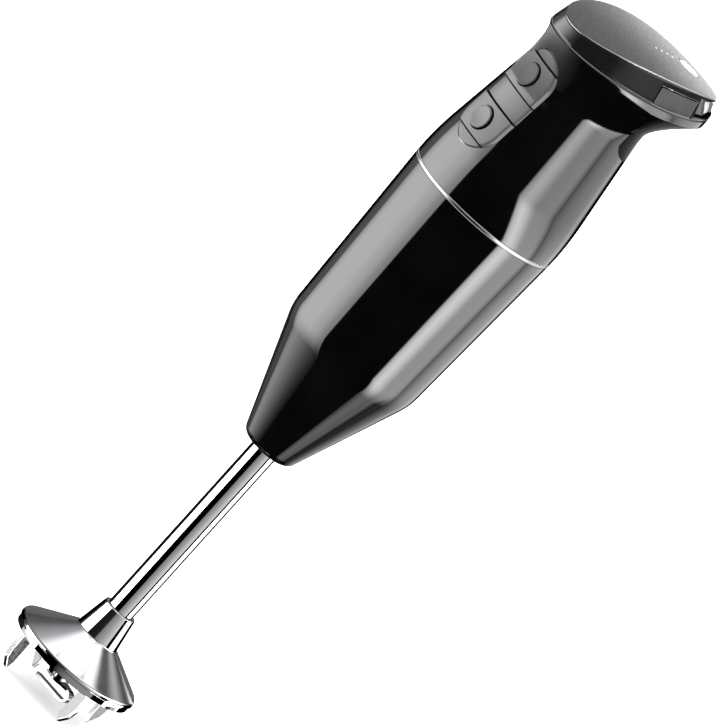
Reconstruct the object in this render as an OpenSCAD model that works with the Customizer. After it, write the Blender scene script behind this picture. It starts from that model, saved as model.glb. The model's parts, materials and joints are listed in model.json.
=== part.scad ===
// Cordless immersion blender, standing on the four prongs of its guard.
// The drive axis is Z, the prong tips are at z = 0, the speed buttons face -Y
// and the head overhangs towards +Y. Millimetres.

/* [Guard] */
// Diameter of the guard at its widest
guard_d = 64.4; // [62:0.2:68]
// Height of the open edge of the guard above the prong tips
rim_z = 18.2; // [17:0.2:19]
// Height of the top of the collar
collar_top_z = 51; // [49:0.5:54]
// Width of a prong
prong_w = 7; // [6:0.2:8]
// Thickness of a prong
prong_t = 2.5; // [2:0.1:3]
// Distance of a prong's middle from the drive axis
prong_r = 26.1; // [25.5:0.1:26.5]
// Turn of the first prong about the drive axis
prong_turn = -13.4; // [-45:0.1:45]
// Turn of each prong out of its radial plane
prong_skew = 17.4; // [0:0.2:20]

/* [Shaft] */
// Outer diameter of the shaft tube
tube_d = 13.1; // [12.8:0.1:13.4]
// Wall of the shaft tube
tube_wall = 1; // [0.8:0.1:1.1]
// Diameter of the drive shaft and of the motor shaft
shaft_d = 5; // [4.6:0.1:5]
// Radial running clearance of a shaft in a bush or bearing
run_gap = 0.03; // [0.01:0.01:0.1]
// Direction of the blade about the drive axis
blade_turn = 19; // [-180:1:180]

/* [Body] */
// Height of the flat bottom of the motor housing
housing_z = 148.3; // [147:0.1:149]
// Height of the crease between the cone and the upper body
crease_z = 205.9; // [205:0.1:206.5]
// Body radius at the crease
crease_r = 34.3; // [34:0.1:34.6]
// Body diameter at the trim ring
body_d = 76.6; // [76:0.1:77]
// Height of the bottom of the trim ring
ring_z = 293.2; // [293:0.1:293.4]
// Height of the trim ring
ring_h = 1.3; // [1.1:0.1:1.5]
// Wall of the housing mouldings
wall = 2.3; // [2.1:0.1:2.4]
// Height of the narrow neck below the head
neck_z = 362; // [361:0.2:363]
// Diameter of the neck
neck_d = 62; // [61.6:0.1:62.4]

/* [Head] */
// Half width of the head at its seam
head_b = 32.4; // [32.2:0.1:33]
// Half length of the head at its seam, front to rear
head_a = 46.4; // [46:0.1:47]
// Distance of the head's middle behind the drive axis
head_y = 9.6; // [9:0.1:10]
// Height of the head's seam at its middle
seam_z = 382; // [381.6:0.1:382.4]
// Rise of the seam for each millimetre towards the rear
seam_slope = 0.09; // [0.07:0.005:0.1]
// Height of the lid's edge at its middle
lid_z = 394.3; // [394:0.1:395]
// How far the lid's edge falls towards its front and rear
lid_arch = 5.2; // [4.6:0.1:5.6]
// Rise of the lid's middle above its edge
lid_crown = 0.9; // [0.5:0.1:1.2]

/* [Buttons] */
// Height of the middle of the button pad
pad_z = 341.7; // [341:0.1:342]
// Width of the button pad
pad_w = 27; // [26:0.2:28]
// Length of the button pad
pad_l = 55; // [54:0.2:56]
// Distance between the two buttons
button_pitch = 27.6; // [27:0.1:28]
// Diameter of a button
button_d = 11.4; // [11:0.1:12]

/* [Hidden] */

$fn = 96;
eps = 0.01;
// Far enough to cut right through anything
far = 100;
// Gap left between a part and the bore it is pressed or bonded into
press_gap = 0.01;
bond_gap = 0.02;
shaft_r = shaft_d / 2;
bush_r = shaft_r + run_gap;
press_r = shaft_r + press_gap;
tube_r = tube_d / 2;
tube_in = tube_r - tube_wall;
ring_top = ring_z + ring_h;
body_r = body_d / 2;
neck_r = neck_d / 2;
cone_slope = 0.375;
bottom_r = crease_r - cone_slope * (crease_z - housing_z);

// ---- outlines and lofts -------------------------------------------------

function unit(v) = v / norm(v);

// The arc that rounds corner b of the path a-b-c to radius r
function corner(a, b, c, r, n) =
    r <= 0 ? [b] :
    let (u = unit(a - b), v = unit(c - b), half = acos(u * v) / 2,
         mid = b + unit(u + v) * r / sin(half), reach = r / tan(half),
         s = b + u * reach - mid, e = b + v * reach - mid)
    [for (i = [0:n]) mid + r * unit(s * (n - i) + e * i)];

// A closed outline from [x, y, corner radius] entries
function rounded(p, n = 6) =
    let (k = len(p), q = [for (e = p) [e[0], e[1]]])
    [for (i = [0:k - 1])
        each corner(q[(i + k - 1) % k], q[i], q[(i + 1) % k],
                    is_undef(p[i][2]) ? 0 : p[i][2], n)];

module turned(p, n = 6) {
    rotate_extrude() polygon(rounded(p, n));
}

module ring(r_out, r_in, z0, z1) {
    translate([0, 0, z0]) difference() {
        cylinder(r = r_out, h = z1 - z0);
        translate([0, 0, -1]) cylinder(r = r_in, h = z1 - z0 + 2);
    }
}

module disc(r, z0, z1) {
    translate([0, 0, z0]) cylinder(r = r, h = z1 - z0);
}

module sector(r_out, r_in, z0, z1, a0, a1) {
    translate([0, 0, z0]) rotate([0, 0, a0])
        rotate_extrude(angle = a1 - a0)
            translate([r_in, 0]) square([r_out - r_in, z1 - z0]);
}

// A screw whose head sits on z_head, pointing towards z_end
module screw(z_head, z_end, r = 1.45) {
    head_r = 2.75;
    head_h = 2.4;
    head_z = z_head > z_end ? z_head : z_head - head_h;
    disc(head_r, head_z, head_z + head_h);
    disc(r, min(z_head, z_end), max(z_head, z_end));
}

// A closed ring-shaped solid through rings of equally many points
module ring_loft(rings) {
    m = len(rings[0]);
    k = len(rings);
    polyhedron(
        points = [for (r = rings) each r],
        faces = [for (i = [0:k - 1], j = [0:m - 1])
            let (i2 = (i + 1) % k, j2 = (j + 1) % m)
            each [[i * m + j, i2 * m + j, i2 * m + j2], [i * m + j, i2 * m + j2, i * m + j2]]],
        convexity = 8);
}

// A closed solid through rings, ending in flat caps
module cap_loft(rings) {
    m = len(rings[0]);
    k = len(rings);
    polyhedron(
        points = [for (r = rings) each r],
        faces = concat(
            [[for (j = [0:m - 1]) j]],
            [for (i = [0:k - 2], j = [0:m - 1])
                let (j2 = (j + 1) % m)
                each [[i * m + j, (i + 1) * m + j, (i + 1) * m + j2],
                      [i * m + j, (i + 1) * m + j2, i * m + j2]]],
            [[for (j = [m - 1:-1:0]) (k - 1) * m + j]]),
        convexity = 8);
}

// A helical spring standing on z = 0
coil_sides = 6;
coil_steps = 10;
module coil(r, wire_r, h, turns) {
    steps = turns * coil_steps;
    rise = h - 2 * wire_r;
    cap_loft([for (i = [steps:-1:0])
        let (a = i * 360 / coil_steps, z = wire_r + rise * i / steps)
        [for (j = [0:coil_sides - 1])
            let (b = j * 360 / coil_sides, s = r + wire_r * cos(b))
            [s * cos(a), s * sin(a), z + wire_r * sin(b)]]]);
}

// ---- head outline -------------------------------------------------------

head_steps = 48;
seg = 360 / head_steps;
function seam(y) = seam_z + seam_slope * (y - head_y);
// The lid's edge is an arch whose top lies lid_shift in front of the head's middle
lid_shift = 1;
lid_half = 43.6;
function lid_edge(y) =
    let (s = (y - head_y + lid_shift) / lid_half)
    lid_z + seam_slope * s * lid_half - lid_arch * s * s;

// Oval of the head, drawn in by d
function oval(d = 0, b = head_b, a = head_a, y0 = head_y) =
    [for (i = [0:head_steps - 1]) [(b - d) * cos(i * seg), y0 + (a - d) * sin(i * seg)]];
// The head's wall leans in towards the lid
lid_b = 28.8;
lid_a = 44.4;
lid_y = 8.8;
function lid_oval(d = 0) = oval(d, lid_b, lid_a, lid_y);
function on_seam(p, rise) = [for (q = p) [q.x, q.y, seam(q.y) + rise]];
function on_lid(p, rise) = [for (q = p) [q.x, q.y, lid_edge(q.y) + rise]];
// Between the seam oval (t = 0) and the lid oval (t = 1)
function wall_ring(t, d) =
    let (lo = on_seam(oval(d), seam_gap), hi = on_lid(lid_oval(d), 0))
    [for (i = [0:head_steps - 1]) lo[i] * (1 - t) + hi[i] * t];
seam_gap = 0.35;
// The head's wall at a height above its foot, or below its top
function foot_ring(rise, d) =
    let (lo = wall_ring(0, d), hi = wall_ring(1, d))
    [for (i = [0:head_steps - 1]) lo[i] + (hi[i] - lo[i]) * rise / (hi[i].z - lo[i].z)];
function top_ring(drop, d) =
    let (lo = wall_ring(0, d), hi = wall_ring(1, d))
    [for (i = [0:head_steps - 1]) hi[i] - (hi[i] - lo[i]) * drop / (hi[i].z - lo[i].z)];

// Everything above the seam plane
module above_seam(rise) {
    translate([0, head_y, seam_z + rise]) rotate([atan(seam_slope), 0, 0])
        translate([-far, -far, 0]) cube([2 * far, 2 * far, far]);
}

// ---- guard --------------------------------------------------------------

bell_k = 1.72;
guard_r = guard_d / 2;
band_r = guard_r - 0.7;
band_top = rim_z + 2.9;
bell_t = 2;
band_t = 1.3;
seal_r = 5.1;
collar_r = 8.2;
// Radius at which the collar meets the bell, and that of the hollow inside
neck_in = 10.9;
hollow_r = 12;
throat_r = 8;
// Floor and roof of the pocket for the seal
pocket_z0 = 31;
pocket_z1 = 36;
// Height of the bell's outer cone at radius r
function bell_at(r) = rim_z + 4.9 + (guard_r - r) / bell_k;

module guard() {
    bore_r = tube_r + bond_gap;
    pocket_r = seal_r + 0.03;
    hollow_z = bell_at(hollow_r) - bell_t;
    rim_in = band_r - band_t;
    color([0.78, 0.79, 0.8]) {
        turned([
            [bore_r, collar_top_z],
            [collar_r, collar_top_z, 0.5],
            [neck_in, bell_at(neck_in), 1.2],
            [guard_r, bell_at(guard_r), 2],
            [guard_r, band_top + 0.2, 0.3],
            [band_r, band_top],
            [band_r, rim_z, 0.3],
            [rim_in, rim_z, 0.3],
            [rim_in, bell_at(rim_in) - bell_t, 0.8],
            [hollow_r, hollow_z, 1.5],
            [throat_r, hollow_z, 0.8],
            [throat_r - 0.4, pocket_z0, 0.4],
            [pocket_r, pocket_z0],
            [pocket_r, pocket_z1],
            [bore_r, pocket_z1]], 5);
        for (i = [0:3]) prong(prong_turn + 90 * i);
    }
}

// One prong: a flat fin, its point nearer the axis, with a small flat tip
module prong(turn) {
    tip = -1.9;
    flat = 0.5;
    h = prong_w / 2;
    rotate([0, 0, turn]) translate([prong_r, 0, 0]) rotate([90, 0, prong_skew])
        translate([0, 0, -prong_t / 2]) linear_extrude(prong_t)
            polygon(rounded([
                [tip - flat, 0], [tip + flat, 0],
                [h - 1.1, 4.6, 4], [h, 9.6, 6],
                [h, bell_at(prong_r + h) - bell_t / 2], [-h, bell_at(prong_r - h) - bell_t / 2],
                [-h, 3.4, 3]], 5));
}

tube_z0 = 36.5;
tube_z1 = 157.5;

module bush(z0, h) {
    color([0.72, 0.55, 0.3]) ring(tube_in - bond_gap, bush_r, z0, z0 + h);
}

module lower_bush() {
    bush(tube_z0 + 2, 11.5);
}

module shaft_seal() {
    bottom = pocket_z0 + 0.2;
    lip_z = bottom + 1.2;
    color([0.12, 0.12, 0.12]) difference() {
        disc(seal_r, bottom, bottom + 3.4);
        disc(shaft_r + 0.04, bottom - 1, pocket_z1);
        disc(3.6, bottom - 1, lip_z);
    }
}

module shaft_tube() {
    color([0.85, 0.86, 0.87]) ring(tube_r, tube_in, tube_z0, tube_z1);
}

module upper_bush() {
    bush(tube_z1 - 14.5, 12);
}

module tube_nut() {
    nut_z = housing_z + 4.1;
    nut_h = 3.6;
    flange_top = nut_z + 4.8;
    color([0.6, 0.6, 0.62]) difference() {
        union() {
            translate([0, 0, nut_z]) cylinder(r = 10.4, h = nut_h, $fn = 6);
            disc(9.6, nut_z + nut_h, flange_top);
        }
        disc(tube_r + bond_gap, nut_z - 1, flange_top + 1);
    }
}

// ---- blade and drive ----------------------------------------------------

blade_z = 8.4;
blade_t = 1;
hub_top = 24;
hub_r = 4.5;
hub_neck_r = 2.2;
shaft_end = 11.1;
pin_z = 19.3;
pin_r = 0.75;

module blade_hub() {
    foot_z = 7.5;
    foot_r = 2.9;
    slot_w = 2 * pin_r + 0.2;
    groove_w = 0.8;
    color([0.75, 0.76, 0.77]) difference() {
        turned([[0, foot_z], [foot_r, foot_z, 0.4], [foot_r, blade_z], [hub_neck_r, blade_z],
            [hub_neck_r, blade_z + blade_t], [hub_r, blade_z + blade_t, 0.3],
            [hub_r, hub_top, 0.5], [0, hub_top]], 3);
        disc(bush_r, shaft_end - 0.2, hub_top + 1);
        translate([-6, -slot_w / 2, pin_z - slot_w / 2]) cube([12, slot_w, 10]);
        for (z = [12, 14.6]) ring(hub_r + 1, hub_r - 0.4, z, z + groove_w);
    }
}

// A strip: upturned wing, plate, hairpin bend and a lower wing under the hub
module blade() {
    bend_x = 8.1;
    bend_r = 2.65;
    low_z = blade_z + blade_t / 2 - 2 * bend_r;
    w_bend = 5;
    plate_r = 5.6;
    side = 5.4;
    wing_l = 7.6;
    wing_w = 8;
    wing_tilt = 52;
    low_x = -9;
    low_w = 4.2;
    tip_x = -10.2;
    color([0.8, 0.81, 0.82]) rotate([0, 0, blade_turn]) {
        difference() {
            translate([0, 0, blade_z]) linear_extrude(blade_t) union() {
                circle(r = plate_r);
                polygon([[-side, -wing_w / 2], [-side, wing_w / 2], [1, side], [bend_x, w_bend / 2],
                    [bend_x, -w_bend / 2], [1, -side]]);
            }
            disc(hub_neck_r + bond_gap, 0, hub_top);
        }
        // upturned wing
        translate([0.2 - side, 0, blade_z]) rotate([0, wing_tilt, 0])
            translate([-wing_l, -wing_w / 2, 0]) linear_extrude(blade_t)
                polygon(rounded([[wing_l, 0], [wing_l, wing_w], [2, wing_w, 1], [0, 5.4, 1],
                    [0, 1.4, 1]], 3));
        // hairpin bend
        translate([bend_x, w_bend / 2, blade_z + blade_t / 2 - bend_r]) rotate([90, 0, 0])
            rotate([0, 0, -90]) rotate_extrude(angle = 180)
                translate([bend_r - blade_t / 2, 0]) square([blade_t, w_bend]);
        // lower wing
        translate([0, 0, low_z - blade_t / 2]) linear_extrude(blade_t)
            polygon(rounded([[bend_x, -w_bend / 2], [bend_x, w_bend / 2], [low_x, low_w / 2, 1],
                [tip_x, 0, 0.6], [low_x, -low_w / 2, 1]], 3));
    }
}

module drive_shaft() {
    color([0.65, 0.66, 0.68]) difference() {
        disc(shaft_r, shaft_end, coupling_z - 1.1);
        translate([-6, 0, pin_z]) rotate([0, 90, 0]) cylinder(r = pin_r, h = 12);
    }
}

module drive_pin() {
    pin_l = 8.4;
    color([0.5, 0.5, 0.52]) translate([-pin_l / 2, 0, pin_z]) rotate([0, 90, 0])
        cylinder(r = pin_r - press_gap, h = pin_l);
}

module shaft_clip() {
    clip_z = 155.6;
    clip_t = 0.8;
    mouth = 2.2;
    color([0.3, 0.3, 0.32]) difference() {
        disc(4.4, clip_z, clip_z + clip_t);
        disc(press_r, clip_z - 1, clip_z + 2);
        translate([0, -mouth / 2, clip_z - 1]) cube([6, mouth, 3]);
    }
}

coupling_z = 167.5;
jaw_h = 5;
jaw_half = 19;
jaw_r = 7.9;
jaw_in = 3.8;
// Gap between the spider or a jaw and the face beyond it
jaw_gap = 0.2;
sleeve_r = 8;

module shaft_coupling() {
    color([0.55, 0.56, 0.58]) {
        ring(sleeve_r, press_r, coupling_z - 8.9, coupling_z);
        for (i = [0:2])
            sector(jaw_r, jaw_in, coupling_z - 0.5, coupling_z + jaw_h,
                60 + 120 * i - jaw_half, 60 + 120 * i + jaw_half);
    }
}

module motor_coupling() {
    top = coupling_z + jaw_h;
    color([0.55, 0.56, 0.58]) {
        ring(sleeve_r, press_r, top + jaw_gap, top + 8);
        for (i = [0:2])
            sector(jaw_r, jaw_in, coupling_z + jaw_gap, top + 0.7,
                120 * i - jaw_half, 120 * i + jaw_half);
    }
}

module coupling_spider() {
    bottom = coupling_z + jaw_gap;
    top = coupling_z + jaw_h;
    hub = 3.6;
    arm_half = 10;
    color([0.75, 0.2, 0.12]) {
        ring(hub, 1.2, bottom, top);
        for (a = [30:60:330]) sector(7.8, hub - 0.1, bottom, top, a - arm_half, a + arm_half);
    }
}

module cooling_fan() {
    fan_z = 183;
    fan_h = 8;
    fan_r = 19;
    hub = 5;
    plate_t = 1.2;
    color([0.2, 0.22, 0.24]) {
        ring(hub, press_r, fan_z, fan_z + fan_h);
        ring(fan_r, hub - 0.1, fan_z + fan_h - plate_t, fan_z + fan_h);
        for (i = [0:8]) rotate([0, 0, 40 * i])
            translate([hub - 0.2, -plate_t / 2, fan_z]) cube([fan_r - hub + 0.2, plate_t, fan_h - 1]);
    }
}

// ---- motor --------------------------------------------------------------

can_z = 204;
can_top = 264;
can_r = 21;
can_wall = 1.5;
core_z0 = 213;
core_z1 = 251;
slots = 7;
slot_r = 11.8;
wire_slot_r = 2.7;
bearing_r = 8;
bearing_h = 5;
// Screws that hold the motor to its bracket
fix_x = 15;

module motor_shaft() {
    color([0.65, 0.66, 0.68]) disc(shaft_r, coupling_z + jaw_h + 0.9, 280);
}

module armature_core() {
    color([0.42, 0.42, 0.45]) translate([0, 0, core_z0])
        linear_extrude(core_z1 - core_z0) difference() {
            circle(r = 16);
            circle(r = press_r);
            for (i = [0:slots - 1]) rotate([0, 0, i * 360 / slots]) {
                translate([slot_r, 0]) circle(r = wire_slot_r);
                translate([slot_r, -0.8]) square([6, 1.6]);
            }
        }
}

module armature_windings() {
    end_h = 5.4;
    low = core_z0 - end_h;
    high = core_z1 + end_h;
    r0 = 6;
    r1 = 14;
    color([0.78, 0.42, 0.2]) {
        turned([[r0, low, 1.5], [r1, low, 2.4], [r1, core_z0], [r0, core_z0]]);
        turned([[r0, core_z1], [r1, core_z1], [r1, high, 2.4], [r0, high, 1.5]]);
        for (i = [0:slots - 1]) rotate([0, 0, i * 360 / slots])
            translate([slot_r, 0, 0]) disc(wire_slot_r - 0.2, core_z0 - 1, core_z1 + 1);
    }
}

commutator_r = 6.2;
module commutator() {
    z0 = 258;
    z1 = 271;
    groove_w = 0.5;
    color([0.8, 0.5, 0.25]) difference() {
        disc(commutator_r, z0, z1);
        disc(press_r, z0 - 1, z1 + 1);
        for (a = [15:30:345]) rotate([0, 0, a])
            translate([commutator_r - 0.8, -groove_w / 2, z0 - 1]) cube([2, groove_w, z1 - z0 + 2]);
    }
}

module motor_can() {
    end_t = 2;
    cup_h = 4.5;
    color([0.55, 0.56, 0.58]) difference() {
        union() {
            ring(can_r, can_r - can_wall, can_z, can_top);
            disc(can_r - 1, can_z, can_z + end_t);
            disc(9.6, can_z - cup_h, can_z + 0.5);
        }
        disc(bearing_r + 0.03, can_z - cup_h - 1, can_z + 0.6);
        disc(4, can_z - cup_h - 1, can_z + end_t + 1);
        for (s = [-1, 1]) translate([fix_x * s, 0, 0]) disc(1.5, can_z - 1, can_z + end_t + 1);
    }
}

magnet_half = 68;
module motor_magnets() {
    color([0.25, 0.25, 0.27])
        for (s = [0, 180])
            sector(can_r - can_wall - 0.05, 16.7, core_z0 - 3, core_z1 + 3,
                s - magnet_half, s + magnet_half);
}

module bearing(z0) {
    z1 = z0 + bearing_h;
    color([0.7, 0.71, 0.73]) difference() {
        ring(bearing_r, bush_r, z0, z1);
        for (z = [z0, z1]) ring(6.6, 4.6, z - 0.3, z + 0.3);
    }
}

module front_bearing() {
    bearing(can_z - 4.4);
}

cup_z = 273.6;
module rear_bearing() {
    bearing(cup_z);
}

// The rear cover of the motor: a brush chamber with a cup for the bearing on top
module motor_end_cap() {
    plate_t = 2.5;
    roof_z = 272;
    cup_top = cup_z + 5.4;
    window_w = 8.4;
    color([0.16, 0.16, 0.17]) difference() {
        union() {
            disc(can_r, can_top, can_top + plate_t);
            disc(can_r - can_wall - 0.1, can_top - 2, can_top + 1);
            disc(13, can_top + 2, roof_z + 2);
            disc(10, roof_z + 1, cup_top);
        }
        disc(11.2, can_top + plate_t, roof_z);
        disc(7.6, can_top - 3, can_top + 4);
        disc(3.6, roof_z - 2, cup_top + 1);
        disc(bearing_r + 0.03, cup_z - 0.1, cup_top + 1);
        for (s = [-1, 1]) translate([s * 12 - 4, -window_w / 2, can_top + plate_t])
            cube([8, window_w, 5.8]);
        for (s = [-1, 1]) translate([lead_x * s, lead_y, 0]) disc(1, can_top - 3, can_top + 5);
    }
}

brush_z = 269.2;
brush_w = 5;
brush_h = 4;
brush_l = 7.4;
brush_x = commutator_r + 0.15;

module brush_holders() {
    gap = 0.1;
    skin = 0.8;
    hole_w = brush_w + 2 * gap;
    hole_h = brush_h + 2 * gap;
    x0 = 8;
    x1 = 20.2;
    end_t = 0.9;
    color([0.75, 0.62, 0.3]) for (s = [0, 180]) rotate([0, 0, s]) difference() {
        translate([x0, -hole_w / 2 - skin, brush_z - hole_h / 2 - 0.55])
            cube([x1 - x0, hole_w + 2 * skin, hole_h + 1.1]);
        translate([x0 - 1, -hole_w / 2, brush_z - hole_h / 2])
            cube([x1 - x0 + 1 - end_t, hole_w, hole_h]);
    }
}

module carbon_brushes() {
    color([0.15, 0.15, 0.15]) for (s = [0, 180]) rotate([0, 0, s])
        translate([brush_x, -brush_w / 2, brush_z - brush_h / 2]) cube([brush_l, brush_w, brush_h]);
}

module brush_springs() {
    color([0.7, 0.7, 0.72]) for (s = [0, 180]) rotate([0, 0, s])
        translate([brush_x + brush_l + 0.1, 0, brush_z]) rotate([0, 90, 0]) coil(1.5, 0.25, 5.35, 5);
}

bracket_z = 196.6;
bracket_top = 199.5;
mount_in = 10.2;

module fix_holes(r) {
    for (s = [-1, 1]) translate([fix_x * s, 0, 0]) disc(r, bracket_z - 5, can_z + 1);
}

module motor_bracket() {
    vent_r = 3.2;
    vent_at = 21.5;
    color([0.2, 0.21, 0.22]) difference() {
        turned([[mount_in, bracket_z], [27.9, bracket_z], [29, bracket_top], [mount_in, bracket_top]]);
        fix_holes(1.6);
        for (a = [30:60:330]) rotate([0, 0, a]) translate([vent_at, 0, 0])
            disc(vent_r, bracket_z - 1, bracket_top + 1);
    }
}

module rubber_mount() {
    color([0.1, 0.1, 0.1]) difference() {
        ring(can_r - 0.5, mount_in, bracket_top, can_z);
        fix_holes(1.6);
    }
}

module motor_screws() {
    color([0.6, 0.6, 0.62]) for (s = [-1, 1]) translate([fix_x * s, 0, 0])
        screw(bracket_z, can_z + 2.4);
}

// ---- motor housing ------------------------------------------------------

boss_r = 31.4;
boss_z = 262;
bulkhead_z = 282;
bulkhead_t = 3;

// Places one thing at each of the three screws between the housing and the bulkhead
module at_bosses() {
    for (a = [90, 210, 330]) rotate([0, 0, a]) translate([boss_r, 0, 0]) children();
}

module motor_housing() {
    skin = wall + 0.1;
    floor_t = 4;
    ledge_in = 26;
    color([0.05, 0.05, 0.055]) difference() {
        union() {
            turned([
                [tube_r + 0.05, housing_z],
                [bottom_r, housing_z, 5.5],
                [crease_r, crease_z, 40],
                [body_r, ring_z],
                [body_r - skin, ring_z],
                [crease_r - skin, crease_z + 0.3, 38],
                [bottom_r + cone_slope * floor_t - skin - 0.05, housing_z + floor_t],
                [tube_r + 0.05, housing_z + floor_t]], 8);
            ring(28.9, ledge_in, bracket_z - 2.6, bracket_z - 0.1);
            at_bosses() disc(4, boss_z, bulkhead_z);
        }
        at_bosses() disc(1.5, boss_z + 2, bulkhead_z + 1);
    }
}

module bulkhead() {
    color([0.2, 0.21, 0.22]) difference() {
        disc(34.8, bulkhead_z, bulkhead_z + bulkhead_t);
        translate([0, 0, bulkhead_z - 1]) {
            at_bosses() cylinder(r = 1.65, h = 10);
            for (s = [-1, 1]) translate([lead_x * s, lead_y, 0]) cylinder(r = 1.3, h = 10);
            cylinder(r = 6, h = 10);
        }
    }
}

module housing_screws() {
    color([0.6, 0.6, 0.62]) at_bosses() screw(bulkhead_z + bulkhead_t, boss_z + 5);
}

lead_r = 0.9;
lead_x = 9;
lead_y = -14;
lead_z = 289;
lead_bend = 4;

module motor_leads() {
    y0 = lead_y;
    y1 = -26.3;
    for (s = [-1, 1]) color(s > 0 ? [0.7, 0.08, 0.06] : [0.1, 0.1, 0.1])
        translate([lead_x * s, 0, 0]) {
            translate([0, y0, 0]) disc(lead_r, 263, lead_z - lead_bend);
            translate([0, y0 - lead_bend, lead_z - lead_bend]) rotate([90, 0, 90])
                rotate_extrude(angle = 90) translate([lead_bend, 0]) circle(r = lead_r, $fn = 24);
            translate([0, y0 - lead_bend, lead_z]) rotate([90, 0, 0])
                cylinder(r = lead_r, h = y0 - y1 - 2 * lead_bend);
            translate([0, y1 + lead_bend, lead_z + lead_bend]) rotate([90, 0, 90])
                rotate([0, 0, 180]) rotate_extrude(angle = 90)
                    translate([lead_bend, 0]) circle(r = lead_r, $fn = 24);
            translate([0, y1, 0]) disc(lead_r, lead_z + lead_bend, 307);
        }
}

module trim_ring() {
    proud = 0.1;
    spigot_r = 35.4;
    spigot_in = 34.4;
    spigot_h = 5;
    color([0.75, 0.76, 0.77]) {
        ring(body_r + proud, spigot_in, ring_z, ring_top);
        ring(spigot_r, spigot_in, ring_z - spigot_h, ring_top + spigot_h);
    }
}

// ---- handle -------------------------------------------------------------

// Side outline of the handle up to the neck, moved out by d
belly_r = 38.5;
belly_z = 305.9;
function handle_side(d = 0) = [
    each corner([body_r + d, ring_top], [belly_r + d, belly_z], [neck_r + d, neck_z - 3], 140, 6),
    each corner([belly_r + d, belly_z], [neck_r - 0.2 + d, neck_z], [neck_r + 0.4 + d, neck_z + 10],
                40, 3)];

// The flare from the neck to the head's seam: t from 0 to 1, wall drawn in by d
flare_z = neck_z + 3;
function flare_ring(t, d) =
    [for (i = [0:head_steps - 1])
        let (c = cos(i * seg), s = sin(i * seg), front = (1 - s) / 2,
             w = pow(t, 1.3 + 1.1 * front),
             p = [(neck_r - d) * c, (neck_r - d) * s],
             q = [(head_b - d) * c, head_y + (head_a - d) * s],
             xy = p * (1 - w) + q * w,
             top = seam(q.y) - flange_h)
        [xy.x, xy.y, flare_z * (1 - t) + top * t]];
flange_h = 4.4;
function circle_ring(r, z) =
    [for (i = [0:head_steps - 1]) [r * cos(i * seg), r * sin(i * seg), z]];

module handle_shell() {
    side_out = handle_side(0);
    side_in = handle_side(-wall);
    flare_t = [0.12, 0.3, 0.48, 0.66, 0.83, 1];
    n = len(side_out);
    color([0.05, 0.05, 0.055]) difference() {
        ring_loft(concat(
            [circle_ring(body_r - wall, ring_top), circle_ring(body_r, ring_top)],
            [for (p = side_out) circle_ring(p.x, p.y)],
            [for (t = flare_t) flare_ring(t, 0)],
            [on_seam(oval(0), 0), on_seam(oval(wall), 0)],
            [for (i = [len(flare_t) - 1:-1:0]) flare_ring(flare_t[i], wall)],
            [for (i = [n - 1:-1:0]) circle_ring(side_in[i].x, side_in[i].y)]));
        in_pad_frame() linear_extrude(20, center = true) pad_outline(pad_gap);
    }
}

// Top of the plate the battery pack stands over
bay_z = 298.4;
contact_x = [-9, -3, 3, 9];
contact_y = 2;

module bay_floor() {
    r = 34.2;
    skirt = 1.6;
    plate_t = 2.4;
    skirt_z = bulkhead_z + bulkhead_t + 0.1;
    slot_w = 28;
    color([0.2, 0.21, 0.22]) difference() {
        union() {
            disc(r, bay_z - plate_t, bay_z);
            ring(r, r - skirt, skirt_z, bay_z - 0.4);
        }
        translate([-slot_w / 2, -40, skirt_z - 1]) cube([slot_w, 15.5, 30]);
        at_bosses() disc(3.2, skirt_z - 1, skirt_z + 5);
    }
}

module bay_contacts() {
    color([0.85, 0.68, 0.3]) for (x = contact_x)
        translate([x, contact_y, 0]) {
            disc(1.2, bay_z, bay_z + 1.2);
            disc(0.7, bay_z + 1.1, bay_z + 2.1);
        }
}

// ---- buttons ------------------------------------------------------------

// Local frame on the pad's middle: +Z out of the handle, +Y up its side
pad_tilt = 7.8;
pad_y = -33.6;
module in_pad_frame() {
    translate([0, pad_y, pad_z]) rotate([90 - pad_tilt, 0, 0]) children();
}

module pad_outline(grow) {
    r = pad_w / 2 + grow;
    h = pad_l / 2 - pad_w / 2;
    for (s = [-1, 1]) translate([0, s * h]) circle(r = r);
    translate([-r, -h]) square([2 * r, 2 * h]);
}

module handle_skin(out, inner) {
    difference() {
        turned_side(out);
        turned_side(inner);
    }
}

module turned_side(d) {
    p = handle_side(d);
    low = 300;
    high = neck_z + 10;
    rotate_extrude() polygon(concat([[0, low]], [[p[0].x, low]],
        [for (q = p) if (q.y > low) q], [[neck_r + 0.6 + d, high], [0, high]]));
}

land_h = 17;
land_r = 42;
land_top = 1.5;
pad_proud = 0.6;
pad_gap = 0.05;
board_z = -13;
board_t = 1.6;

button_gap = 0.35;
module button_pad() {
    color([0.62, 0.62, 0.62]) difference() {
        union() {
            intersection() {
                in_pad_frame() translate([0, 0, -10]) linear_extrude(20) pad_outline(-pad_gap);
                handle_skin(pad_proud, -wall - 0.6);
            }
            intersection() {
                in_pad_frame() translate([0, 0, -14]) linear_extrude(20) pad_outline(1.8);
                handle_skin(-wall - 0.15, -wall - 1.2);
            }
            // raised lands under the two buttons
            for (s = [-1, 1]) intersection() {
                in_pad_frame() translate([0, 0, -4]) linear_extrude(12) pad_outline(-pad_gap);
                in_pad_frame() translate([-20, s * button_pitch / 2 - land_h / 2, -2])
                    cube([40, land_h, 10]);
                in_pad_frame() translate([0, 0, land_top - land_r]) rotate([90, 0, 0])
                    cylinder(r = land_r, h = 80, center = true);
            }
        }
        in_pad_frame() for (s = [-1, 1]) translate([0, s * button_pitch / 2, -10])
            cylinder(r = button_d / 2 + button_gap, h = 20);
    }
}

stem_r = 1.4;
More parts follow.
